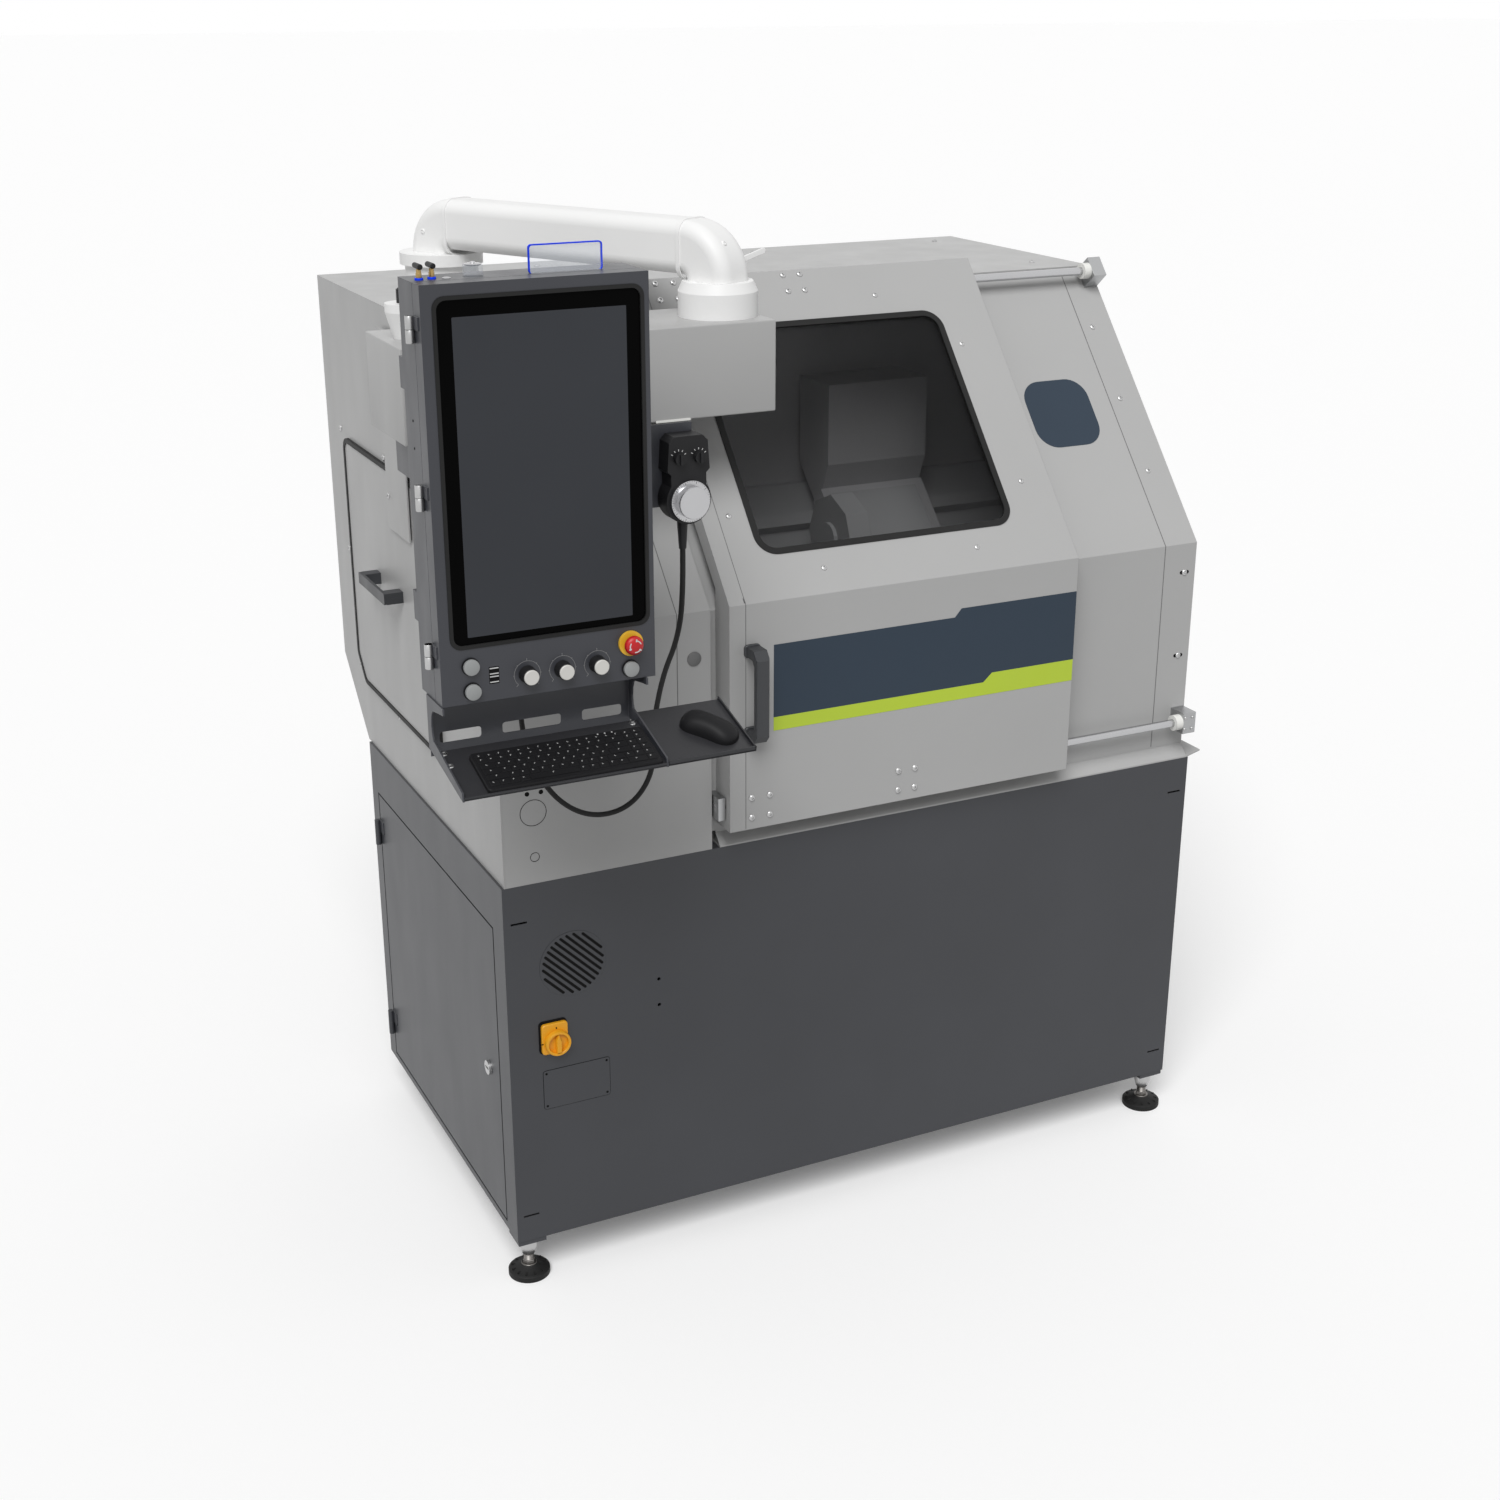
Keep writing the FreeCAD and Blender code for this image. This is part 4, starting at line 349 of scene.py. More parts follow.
def slab(mesh, matrix, outline, low, high, bevel=0.0):
    """A plate from an outline on a face, from one height to another, with a softened top edge."""
    base = mesh.faces.new([mesh.verts.new(matrix @ Vector((x, y, low))) for x, y in outline])
    top = raised(mesh, [base], outward(matrix, high - low - bevel))
    if bevel:
        top = raised(mesh, top, outward(matrix, bevel))
        centre = top[0].calc_center_median()
        for vert in top[0].verts:
            inward = centre - vert.co
            vert.co += inward.normalized() * min(1.2 * bevel / 1000, 0.4 * inward.length)


def block(left, low, right, high, radius=0.0, steps=5):
    """A rectangle outline with rounded corners."""
    if not radius:
        return [(left, low), (right, low), (right, high), (left, high)]
    points = []
    for x, y, turn in ((right - radius, low + radius, -90), (right - radius, high - radius, 0),
                       (left + radius, high - radius, 90), (left + radius, low + radius, 180)):
        for step in range(steps + 1):
            angle = math.radians(turn + 90 * step / steps)
            points.append((x + radius * math.cos(angle), y + radius * math.sin(angle)))
    return points


def rim(mesh, matrix, outline, out):
    """A closed line of edges along an outline, without its doubled points."""
    outline = [place for number, place in enumerate(outline) if math.dist(place, outline[number - 1]) > 0.01]
    points = [mesh.verts.new(matrix @ Vector((x, y, out))) for x, y in outline]
    return [mesh.edges.new((points[number - 1], points[number])) for number in range(len(points))]


def pierced(mesh, matrix, outline, holes, low, high):
    """A flat plate with holes."""
    before = set(mesh.faces)
    edges = [edge for loop in (outline, *holes) for edge in rim(mesh, matrix, loop, low)]
    bmesh.ops.triangle_fill(mesh, use_beauty=True, use_dissolve=False, edges=edges)
    raised(mesh, [made for made in mesh.faces if made not in before], outward(matrix, high - low))


def circle(at, radius, count=40):
    turns = [2 * math.pi * step / count for step in range(count)]
    return [(at[0] + radius * math.cos(turn), at[1] + radius * math.sin(turn)) for turn in turns]


def band(mesh, matrix, outer, inner, low, high):
    """A closed band between two outlines."""
    rims = rim(mesh, matrix, outer, low) + rim(mesh, matrix, inner, low)
    raised(mesh, bmesh.ops.bridge_loops(mesh, edges=rims)["faces"], outward(matrix, high - low))


def arc_strip(mesh, matrix, at, radius, width, start, stop, low, high, steps=40):
    """A curved strip about a centre between two angles in degrees."""
    ray = Vector((math.cos(math.radians(start)), math.sin(math.radians(start))))
    corners = ((radius, low), (radius, high), (radius - width, high), (radius - width, low))
    places = [(at[0] + ray.x * reach, at[1] + ray.y * reach, out) for reach, out in corners]
    end = mesh.faces.new([mesh.verts.new(matrix @ Vector(place)) for place in places])
    bmesh.ops.spin(mesh, geom=[end, *end.edges, *end.verts], cent=matrix @ Vector((*at, low)),
                   axis=outward(matrix, 1), angle=math.radians(stop - start), steps=steps)


def tick(mesh, matrix, at, near, far, width, degrees, low, high):
    """A short bar that points away from a centre."""
    angle = math.radians(degrees)
    ray = Vector((math.cos(angle), math.sin(angle)))
    side = Vector((-ray.y, ray.x)) * width / 2
    start, stop = Vector(at) + ray * near, Vector(at) + ray * far
    slab(mesh, matrix, [start - side, stop - side, stop + side, start + side], low, high)


def rounded_path(points, radius, grow=0.0, steps=5):
    """A convex polygon, grown by an amount, with each corner an arc."""
    path = []
    for index, point in enumerate(points):
        corner = Vector(point)
        back = (Vector(points[index - 1]) - corner).normalized()
        ahead = (Vector(points[(index + 1) % len(points)]) - corner).normalized()
        half = back.angle(ahead) / 2
        inward = (back + ahead).normalized()
        arc_centre = corner + inward * ((radius - grow) / math.sin(half))
        plain_centre = corner + inward * (radius / math.sin(half))
        first = corner + back * (radius / math.tan(half)) - plain_centre
        last = corner + ahead * (radius / math.tan(half)) - plain_centre
        for step in range(steps + 1):
            path.append(arc_centre + first.lerp(last, step / steps).normalized() * radius)
    return path


def screws(name, body, places, radius=5.5, rise=3.0, slot="zinc"):
    """Button-head screws with a hexagon socket."""
    mesh = bmesh.new()
    for matrix, x, y in places:
        rings = [(radius, -0.5), (radius, rise * 0.35), (radius * 0.82, rise * 0.8), (radius * 0.55, rise)]
        rings += [(radius * 0.46, rise), (radius * 0.46, rise * 0.4)]
        lathe(mesh, matrix, (x, y), rings, 18, hexagon=(4, 5))
    return make(name, mesh, slot, body, smooth=35)


# ------------------------------------------------------------------ the stand
def add_vent():
    """A pierced disc with eleven slots that lean down to the right, over a dark sheet of painted shade that
    stands for the dark inside seen through the slots.
    """
    at, radius, count, pitch = (-620, 656), 65.0, 11, 10.8
    lean = Matrix.Rotation(math.radians(-45), 2)
    holes = []
    for number in range(count):
        up = (number - (count - 1) / 2) * pitch
        half = math.sqrt((radius - 4) ** 2 - up ** 2) - 1
        slot = [lean @ Vector(point) for point in block(-half, up - 2.6, half, up + 2.6, 2.6, 4)]
        holes.append([(at[0] + point.x, at[1] + point.y) for point in slot])
    disc, slot_shade = bmesh.new(), bmesh.new()
    pierced(disc, STAND_FRONT, circle(at, radius, 64), holes, 0.25, 0.6)
    # Painted shade: the dark sheet under the disc stands for the dark inside of the stand seen through the
    # slots.
    slab(slot_shade, STAND_FRONT, circle(at, radius - 1, 64), 0.0, 0.25)
    vent = make("vent_disc", disc, "stand_charcoal", "machine")
    make("vent_slot_shade", slot_shade, DARK_MARK_AND_SHADE, "machine")
    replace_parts(vent, "stand_covers")


def add_blank_plate():
    """A riveted plate over an unused cut-out, with a dark band of painted shade round its edge."""
    covers = sides("stand_covers")
    left, low, right, high = covers.left, covers.base, covers.right, covers.base + 80
    plate, edge, rivets = bmesh.new(), bmesh.new(), bmesh.new()
    slab(plate, STAND_FRONT, block(left, low, right, high, 5), 0.0, 0.8)
    # Painted shade: the dark band round the plate stands for the shade along its edge.
    band(edge, STAND_FRONT, block(left - 0.8, low - 0.8, right + 0.8, high + 0.8, 5.8),
         block(left, low, right, high, 5), 0.0, 0.5)
    for x in (left + 6, right - 6):
        for z in (low + 6, high - 6):
            lathe(rivets, STAND_FRONT, (x, z), [(2.4, 0.7), (2.4, 1.1), (1.2, 1.3)], 12)
    make("blank_plate", plate, "stand_charcoal", "machine")
    make("blank_plate_edge_shade", edge, DARK_MARK_AND_SHADE, "machine")
    make("blank_plate_rivets", rivets, DARK_MARK_AND_SHADE, "machine")


def add_switch():
    """A square plate and a dished round knob with a straight grip across it, and a dark pad of painted shadow
    above and left of the plate.
    """
    at = middle("switch_knob")
    plate, knob, surround = bmesh.new(), bmesh.new(), bmesh.new()
    left, right, low, high = -688, -637, 483, 545
    # Painted shadow: the dark pad reaching out above and to the left of the plate stands for the plate's
    # shadow on the panel.
    slab(surround, STAND_FRONT, block(left - 4, low, right, high + 5, 8, 4), 0.0, 1.2)
    slab(plate, STAND_FRONT, block(left, low, right, high, 7, 4), 1.0, 8.0, 1.6)
    rings = [(23.4, 8.2), (24.4, 9.6), (24.4, 19.0), (23.4, 20.5)]
    rings += [(20.0, 20.5), (19.2, 19.6), (18.6, 11.5), (0.8, 11.5)]
    lathe(knob, STAND_FRONT, at, rings, 48)
    grip = [(-4.5, -18), (4.5, -18), (5.0, 8), (0, 19), (-5.0, 8)]
    slab(knob, STAND_FRONT, [(at[0] + x, at[1] + y) for x, y in grip], 11.0, 23.0, 1.6)
    make("switch_plate_shadow", surround, DARK_MARK_AND_SHADE, "machine")
    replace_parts(make("switch_face", plate, "switch_orange", "machine", smooth=30), "switch_plate")
    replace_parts(make("switch_handle", knob, "switch_orange", "main_switch", smooth=35), "switch_knob")
    marks = bmesh.new()
    for degrees in (90, 180):
        tick(marks, STAND_FRONT, at, 26, 30, 2.0, degrees, 7.9, 8.4)
    make("switch_marks", marks, DARK_MARK_AND_SHADE, "machine")


def add_side_door_gap():
    """The dark gap round the door in the stand's left side."""
    door, hinge, width = sides("stand_side_door"), 8.0, 3.0
    rear, front = hinge - door.back, -door.front
    outer = block(rear - width, door.base - width, front + width, door.top + width)
    gap = bmesh.new()
    band(gap, STAND_LEFT, outer, block(rear, door.base, front, door.top), -1.5, 0.3)
    make("side_door_gap", gap, DARK_MARK_AND_SHADE, "machine")


def add_feet():
    """Four levelling feet, each with a ribbed pad, a washer and nut, a threaded spindle, a tapered bush and
    a corner bracket. The rear ones stand further in: none shows at the left side's rear corner."""
    pad = sides("foot_pads")
    radius, rear_inset, bracket, spindle, nut, bush = 40.0, 130.0, 28.0, 9.5, 15.0, 18.0
    top, high, pitch = pad.top, sides("stand_front_panel").base, 2.2
    disc = [(radius - 1, 0), (radius, 1), (radius, top - 11), (radius - 1, top - 10), (radius - 6, top - 8.5)]
    disc += [(nut + 1, top - 1), (nut, top)]
    thread = []
    for turn in range(int((high - top) / pitch)):
        thread += [(spindle - 0.6, top + pitch * turn), (spindle + 0.4, top + pitch * (turn + 0.5))]
    washer = [(nut - 0.5, top - 0.5), (nut, top), (nut, top + 1.5), (nut - 0.5, top + 2)]
    hexagon = [(nut - 4, top + 2), (nut - 3, top + 3), (nut - 3, top + 8), (nut - 4, top + 9)]
    taper = [(bush - 6, high - 46), (bush - 5, high - 45), (bush, high - 28), (bush, high - 10)]
    pads, ribs, spindles, nuts, bushes, brackets = (bmesh.new() for _ in range(6))
    for y, inset in ((pad.front + radius, 0.0), (pad.back - radius, rear_inset)):
        for x in (pad.left + radius + inset, pad.right - radius - inset):
            ground = face((x, y, 0), RIGHT, BACK)
            turned = (
                (pads, disc, 48), (spindles, thread, 24), (nuts, washer, 32), (nuts, hexagon, 6),
                (bushes, taper, 32),
            )
            for mesh, rings, count in turned:
                lathe(mesh, ground, (0, 0), rings, count)
            for number in range(12):
                spoke = ground @ Matrix.Rotation(2 * math.pi * number / 12, 4, "Z")
                slab(ribs, spoke, block(nut + 3, -1.2, radius - 5, 1.2, 0.8, 2), top - 9.5, top - 5.5)
            slab(brackets, ground, block(-bracket, -bracket, bracket, bracket, 1, 2), high - 10, high - 0.2)
    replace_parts(make("foot_discs", pads, "black_rubber", "machine", smooth=30), "foot_pads")
    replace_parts(make("foot_threads", spindles, FOOT_STEEL, "machine", smooth=30), "foot_spindles")
    make("foot_ribs", ribs, "black_rubber", "machine")
    make("foot_nuts", nuts, FOOT_STEEL, "machine")
    make("foot_bushes", bushes, "zinc", "machine", smooth=30)
    make("foot_brackets", brackets, "stand_charcoal", "machine")


# -------------------------------------------------------------- the enclosure
def add_hatch_gasket():
    """The rubber edge between the hatch, with its cut corner, and the left wall."""
    hatch, cut_across, cut_up = sides("side_hatch"), 45, 50
    front, back = -hatch.front, -hatch.back
    outline = [(front, hatch.base), (front, hatch.top), (back, hatch.top)]
    outline += [(back, hatch.base + cut_up), (back + cut_across, hatch.base)]
    surround = bmesh.new()
    band(surround, LEFT_WALL, rounded_path(outline, 26, grow=7), rounded_path(outline, 20, grow=-2), 0.2, 7.0)
    make("hatch_gasket", surround, "black_rubber", "machine")


def add_enclosure_screws():
    """Screws of the left wall, the side plate, the strip at the right end and the roof."""
    places = [(LEFT_WALL, -y, z) for y, z in ((899, 1485), (896, 1235), (866, 990), (601, 958), (596, 1485))]
    places += [(SIDE_PLATE, -y, z) for y, z in ((541, 1670), (539, 1425))]
    places += [(WALL_SLOPE_FACE, 695, along(z, WALL_CREASE)) for z in (1666, 1538, 1411)]
    places += [(WALL_FRONT, 719, z) for z in (1224, 1049)]
    places += [(ROOF, x, y) for x in (-300, 200, 660) for y in (530, 930)]
    screws("enclosure_screws", "machine", places, 6.0)
    slots = bmesh.new()
    for z in (1224, 1049):
        slab(slots, WALL_FRONT, block(708, z - 3.5, 730, z + 3.5, 3.4, 4), 0.0, 0.5)
    make("strip_slots", slots, DARK_MARK_AND_SHADE, "machine")


def add_cover_marks():
    """Knock-outs, small holes and a plug in the headstock cover's front."""
    marks = bmesh.new()
    for x, z, radius in ((-685, 965, 25), (-685, 880, 9)):
        band(marks, STAND_FRONT, circle((x, z), radius), circle((x, z), radius - 1.0), 0.05, 0.35)
    for x in (-695, -669):
        lathe(marks, STAND_FRONT, (x, 1002), [(4.2, 0.0), (4.2, 0.4)], 16)
    make("cover_knockouts", marks, DARK_MARK_AND_SHADE, "machine")
    plug = bmesh.new()
    lathe(plug, STAND_FRONT, (-371, 1204.6), [(13.5, 0.0), (13.5, 1.6), (12.4, 2.4)], 28)
    make("cover_plug", plug, SEAM_AND_SHADE_GREY, "machine", smooth=40)


def add_seams():
    """Butt joints of the cover and of the strip at the right end, front and slope."""
    seams = bmesh.new()
    slab(seams, STAND_FRONT, block(-404.8, 1112, -403.2, COVER_CREASE), 0.05, 0.45)
    slab(seams, COVER_SLOPE_FACE, block(-404.8, 0, -403.2, 640), 0.05, 0.45)
    slab(seams, STAND_FRONT, block(-560, 1110.8, -345, 1112.2), 0.05, 0.45)
    slab(seams, WALL_FRONT, block(667.4, 858, 669.0, WALL_CREASE), 0.05, 0.45)
    slab(seams, WALL_SLOPE_FACE, block(667.4, 0, 669.0, 640), 0.05, 0.45)
    make("sheet_seams", seams, SEAM_AND_SHADE_GREY, "machine")


def add_service_panels():
    """Screwed panels on the rear and the right side, made up, as neither side is seen."""
    stand, wall = sides("stand_frame"), sides("enclosure_rear")
    stand_rear, stand_right = face((0, stand.back, 0), -RIGHT, UP), face((stand.right, 0, 0), BACK, UP)
    wall_rear, wall_right = face((0, wall.back, 0), -RIGHT, UP), face((wall.right, 0, 0), BACK, UP)
    panels = (
        (stand_rear, -690, 150, -15, 770), (stand_rear, 15, 150, 690, 770), (stand_right, 70, 150, 760, 770),
        (wall_rear, -560, 1000, 300, 1640), (wall_right, 430, 930, 900, 1600),
    )
    seams, places = bmesh.new(), []
    for matrix, left, low, right, high in panels:
        outer = block(left - 1, low - 1, right + 1, high + 1, 6)
        band(seams, matrix, outer, block(left, low, right, high, 5), 0.0, 0.3)
        for x in (left + 18, (left + right) / 2, right - 18):
            places += [(matrix, x, z) for z in (low + 18, high - 18)]
    make("panel_seams", seams, DARK_MARK_AND_SHADE, "machine")
    screws("panel_screws", "machine", places, 6.0, 0.5)


def add_slope_panel():
    """A rounded navy plate on the slope right of the door."""
    up = along(1523, WALL_CREASE)
    panel = bmesh.new()
    slab(panel, WALL_SLOPE_FACE, block(471, up - 75, 621, up + 75, 44, 8), 0.0, 0.7)
    make("slope_panel", panel, NAVY, "machine")


# ------------------------------------------------------------ the sliding door
def add_door_band():
    """A navy field over a lime band, both stepped up towards the right."""
    right = sides("door_shell").right - 0.5
    top = [(right, 1239), (160, 1239), (146, 1223), (-232, 1223)]
    step_line = [(-232, 1085), (214, 1085), (233, 1102), (right, 1102)]
    navy, lime = bmesh.new(), bmesh.new()
    slab(navy, DOOR_FRONT, step_line + top, 0.0, 0.5)
    slab(lime, DOOR_FRONT, [(-232, 1059), (right, 1059)] + step_line[::-1], 0.0, 0.5)
    make("door_band_navy", navy, NAVY, "chamber_door")
    make("door_band_lime", lime, LIME, "chamber_door")


def add_door_details():
    """A grey line of painted shade along the fold by the handle, the window's screws, the bearings' bolts and
    the handle's feet.
    """
    fold = bmesh.new()
    # Painted shade: the grey line stands for the shading along the door's fold.
    slab(fold, DOOR_FRONT, block(-288.6, 875, -287.4, DOOR_CREASE), 0.02, 0.35)
    slab(fold, DOOR_SLOPE_FACE, block(-288.6, 0, -287.4, 640), 0.02, 0.35)
    make("door_fold_shade", fold, SEAM_AND_SHADE_GREY, "chamber_door")

    holds = ((334, 1670), (354, 1437), (209, 1343), (-115, 1343), (-267, 1437), (182, 1763))
    places = [(DOOR_SLOPE_FACE, x, along(z, DOOR_CREASE)) for x, z in holds]
    screws("door_screws", "chamber_door", places, 5.5, 2.6)
    bolts = []
    for x in (-266, -229, 0, 36):
        bolts += [(DOOR_SLOPE_FACE, x, along(z, DOOR_CREASE)) for z in (1807, 1780)]
    for x in (-276, -239, 33, 69):
        bolts += [(DOOR_FRONT, x, z) for z in (935, 896)]
    screws("bearing_bolts", "chamber_door", bolts, 6.2, 3.4)

    handle = sides("door_handle")
    feet = bmesh.new()
    for z in (handle.base + 9, handle.top - 9):
        slab(feet, DOOR_FRONT, block(handle.left - 3, z - 12, handle.right + 3, z + 12, 7, 5), 0.0, 5.0, 1.5)
    make("handle_feet", feet, GRIP_GREY, "chamber_door", smooth=40)


# ------------------------------------------------------ arm, carrier and clamp
def add_arm_details():
    """Seam beads and screws of the two bends, and the lever that brakes the front one."""
    pivot = Vector((-575.0, 708.0, 0.0))
    turn = math.radians(-62.9)
    ahead = Vector((math.cos(turn), math.sin(turn), 0))
    across = Vector((-math.sin(turn), math.cos(turn), 0))
    top = sides("arm").top
    reach, half, height, round_of = 672.0, 42.0, 93.0, 24.0
    bend = top - sides("arm").base - height / 2
    flanges = bmesh.new()
    for distance in (bend, reach - bend):
        section = face(pivot + ahead * distance + UP * (top - height / 2), -across, UP)
        outlines = []
        for grow in (1.6, -1.0):
            wide, tall = half + grow, height / 2 + grow
            outlines.append(block(-wide, -tall - 8, wide, tall, round_of + grow, 8))
        band(flanges, section, *outlines, -4, 4)
    make("arm_flanges", flanges, "arm_white", "arm", smooth=40)
    places = [(face(pivot - ahead * 3 - across * half + UP * 1889, ahead, UP), 0, 0)]
    ray = ahead * math.cos(math.radians(40)) + UP * math.sin(math.radians(40))
    hub = pivot + ahead * (reach - bend) + UP * (top - bend - height / 2)
    place = hub + ray * (bend + height / 2) - across * 11
    places.append((face(place, across, ray.cross(across)), 0, 0))
    screws("arm_screws", "arm", places, 5.0, 2.0, "arm_white")
    lever = bmesh.new()
    bar = face((-205, 152, 1874), (0.95, 0.10, 0.28), (-0.28, 0.0, 0.95))
    slab(lever, bar, block(0, -4.5, 54, 4.5, 4.2, 5), -2.5, 2.5, 0.8)
    make("brake_lever", lever, "arm_white", "arm", smooth=40)


def add_carrier():
    """The folded box with small radii along its four long edges."""
    low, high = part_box("carrier_box")
    case = bmesh.new()
    placed = Matrix.Translation((low + high) / 2) @ Matrix.Diagonal((*(high - low), 1))
    bmesh.ops.create_cube(case, size=1.0, matrix=placed)
    bmesh.ops.bevel(case, geom=case.edges[:], offset=0.0025, segments=3, profile=0.5, affect="EDGES",
                    material=-1)
    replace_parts(make("carrier_case", case, "enclosure_grey", "carrier", smooth=30), "carrier_box")
    box, strip = sides("carrier_box"), bmesh.new()
    slab(strip, front_face(box.front), block(-429, box.base - 1.5, -364, box.base + 2.5, 1, 2), 0.0, 1.5)
    make("carrier_strip", strip, "nylon", "carrier")


def add_clamp_details():
    """The cap on the clamp's lever and the screws of the lower rail's end clamp."""
    lever, clamps = sides("clamp_lever"), sides("rail_clamps")
    head = bmesh.new()
    at = (lever.left + 10, (lever.front + lever.back) / 2)
    lathe(head, top_face(lever.top), at, [(7.5, -0.2), (7.5, 1.6), (6.2, 2.4)], 24)
    make("clamp_cap", head, "black_plastic", "clamp_handle", smooth=40)
    places = [(front_face(clamps.front), x, z) for x in (716, 734) for z in (903, 927)]
    screws("rail_clamp_screws", "machine", places, 3.4, 2.4)


# ---------------------------------------------------------------- the console
def add_display():
    """The lit area of the screen and the rubber rim round its glass."""
    box, glass, edge = sides("display_module"), bmesh.new(), bmesh.new()
    lit = block(box.left + 26, box.base + 14, box.right - 25, box.top - 28, 1.5, 2)
    slab(glass, front_face(box.front), lit, -0.1, 0.3)
    make("display_area", glass, DISPLAY, "console_door")
    outer = block(box.left - 3, box.base - 3, box.right + 3, box.top + 3, 18, 6)
    inner = block(box.left + 3, box.base + 3, box.right - 3, box.top - 3, 14, 6)
    band(edge, CONSOLE_FRONT, outer, inner, -2.0, 1.4)
    make("display_rim", edge, "black_rubber", "console_door")


def add_buttons():
    """A collar and a soft-edged cap on each push button."""
    for name in ("start", "hold", "reset"):
        at = middle(name + "_button")
        collar = bmesh.new()
        band(collar, CONSOLE_FRONT, circle(at, 14.2), circle(at, 12.9), 0.1, 1.2)
        make(name + "_collar", collar, "black_plastic", "console_door")
        cap = bmesh.new()
        lathe(cap, CONSOLE_FRONT, at, [(12.5, 7.9), (12.2, 8.6), (11.0, 9.0)], 36)
        make(name + "_cap", cap, "button_grey", name, smooth=40)


def add_dials():
    """A printed scale, a black skirt and a pale cap for each override dial."""
    scales = bmesh.new()
    for kind in ("feed", "rapid", "speed"):
        name, body = kind + "_dial", kind + "_override"
        at = middle(name)
        arc_strip(scales, CONSOLE_FRONT, at, 21.5, 0.5, -45, 225, 0.05, 0.3)
        for step in range(7):
            tick(scales, CONSOLE_FRONT, at, 21.5, 23.0 if step % 3 else 25.5, 0.6, -45 + 45 * step, 0.05, 0.3)
        skirt, cap = bmesh.new(), bmesh.new()
        lathe(skirt, CONSOLE_FRONT, at, [(13.9, 0.0), (13.6, 6.6), (13.0, 18.0), (12.2, 18.8)], 40)
        lathe(cap, CONSOLE_FRONT, at, [(12.0, 18.0), (12.0, 20.9), (11.2, 21.8)], 40)
        make(body + "_skirt", skirt, "black_plastic", body, smooth=40)
        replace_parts(make(body + "_cap", cap, "dial_white", body, smooth=40), name)
    make("dial_scales", scales, SCALE_GREY, "console_door")


def add_stop_button():
    """A domed red head with three turning arrows."""
    at = middle("stop_button")
    dome = bmesh.new()
    rings = [(5.4, 0.5), (5.4, 11.0), (13.6, 11.5), (15.2, 13.2), (15.4, 17.2)]
    rings += [(14.2, 20.2), (11.0, 22.4), (6.0, 23.7), (0.8, 24.0)]
    lathe(dome, CONSOLE_FRONT, at, rings, 40)
    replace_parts(make("stop_dome", dome, "button_red", "stop", smooth=60), "stop_button")
    arrows = bmesh.new()
    for start in (20, 140, 260):
        arc_strip(arrows, CONSOLE_FRONT, at, 10.2, 1.8, start, start + 58, 20.0, 23.3, 10)
        tick(arrows, CONSOLE_FRONT, at, 7.6, 11.6, 2.2, start + 62, 20.0, 23.5)
    make("stop_arrows", arrows, INK, "stop")


def add_ports():
    """Two sockets, each a dark slot between bright lips."""
    lips, holes = bmesh.new(), bmesh.new()
    slab(holes, CONSOLE_FRONT, block(-866, 1337, -850, 1364, 1, 2), 0.0, 0.4)
    for z in (1339, 1347.6, 1352.2, 1360.8):
        slab(lips, CONSOLE_FRONT, block(-865, z, -851, z + 1.6), 0.3, 0.9)
    make("port_lips", lips, INK, "console_door")
    make("port_slots", holes, DARK_MARK_AND_SHADE, "console_door")


def add_hinge_sleeves():
    """Bright sleeves over the three knuckles, the lower half of each on the box."""
    box = sides("console_box")
    axis = (box.left + 6.0, -307.5)
    starts = (box.base + 54, (box.base + box.top) / 2 - 16, box.top - 85)
    for tag, body, low, high in (("fixed", "console", 0, 19.1), ("moving", "console_door", 19.9, 39)):
        sleeves = bmesh.new()
        for start in starts:
            rings = [(6.3, low), (6.7, low + 0.6), (6.7, high - 0.6), (6.3, high)]
            lathe(sleeves, top_face(start), axis, rings, 24)
        make("hinge_sleeves_" + tag, sleeves, "zinc", body, smooth=40)
    dots = bmesh.new()
    for z in (1735, 1694):
        lathe(dots, CONSOLE_LEFT, (275, z), [(2.0, 0.0), (2.0, 0.4)], 12)
    make("console_side_holes", dots, DARK_MARK_AND_SHADE, "console")


def add_valves():
    """Two small brass valves with blue rings and black lever grips."""
    rings, bodies = bmesh.new(), bmesh.new()
    for tag in ("left", "right"):
        name = "valve_lever_" + tag
        lever = sides(name)
        x, y = (lever.left + lever.right) / 2, lever.front + 4
        lathe(rings, CONSOLE_TOP, (x, y), [(6.4, 0.0), (6.4, 2.2), (5.8, 3.0)], 24)
        shape = [(4.4, 2.5), (4.4, 9.5), (3.6, 10.5), (3.6, 13.5), (3.0, 15.0)]
        lathe(bodies, CONSOLE_TOP, (x, y), shape, 24, hexagon=(0, 1))
        bar = face((x, y, lever.top - 13), RIGHT, UP)
        grip = bmesh.new()
        lathe(grip, bar, (0, 0), [(3.0, -18.0), (4.0, -17.0), (4.0, 8.8), (3.0, 9.8)], 20)
        piece = make("valve_grip_" + tag, grip, "black_plastic", tag + "_valve_handle", smooth=40)
        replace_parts(piece, name)
    make("valve_rings", rings, BLUE_EDGE, "console", smooth=40)
    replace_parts(make("valve_bodies", bodies, "brass", "console", smooth=30), "air_valves")


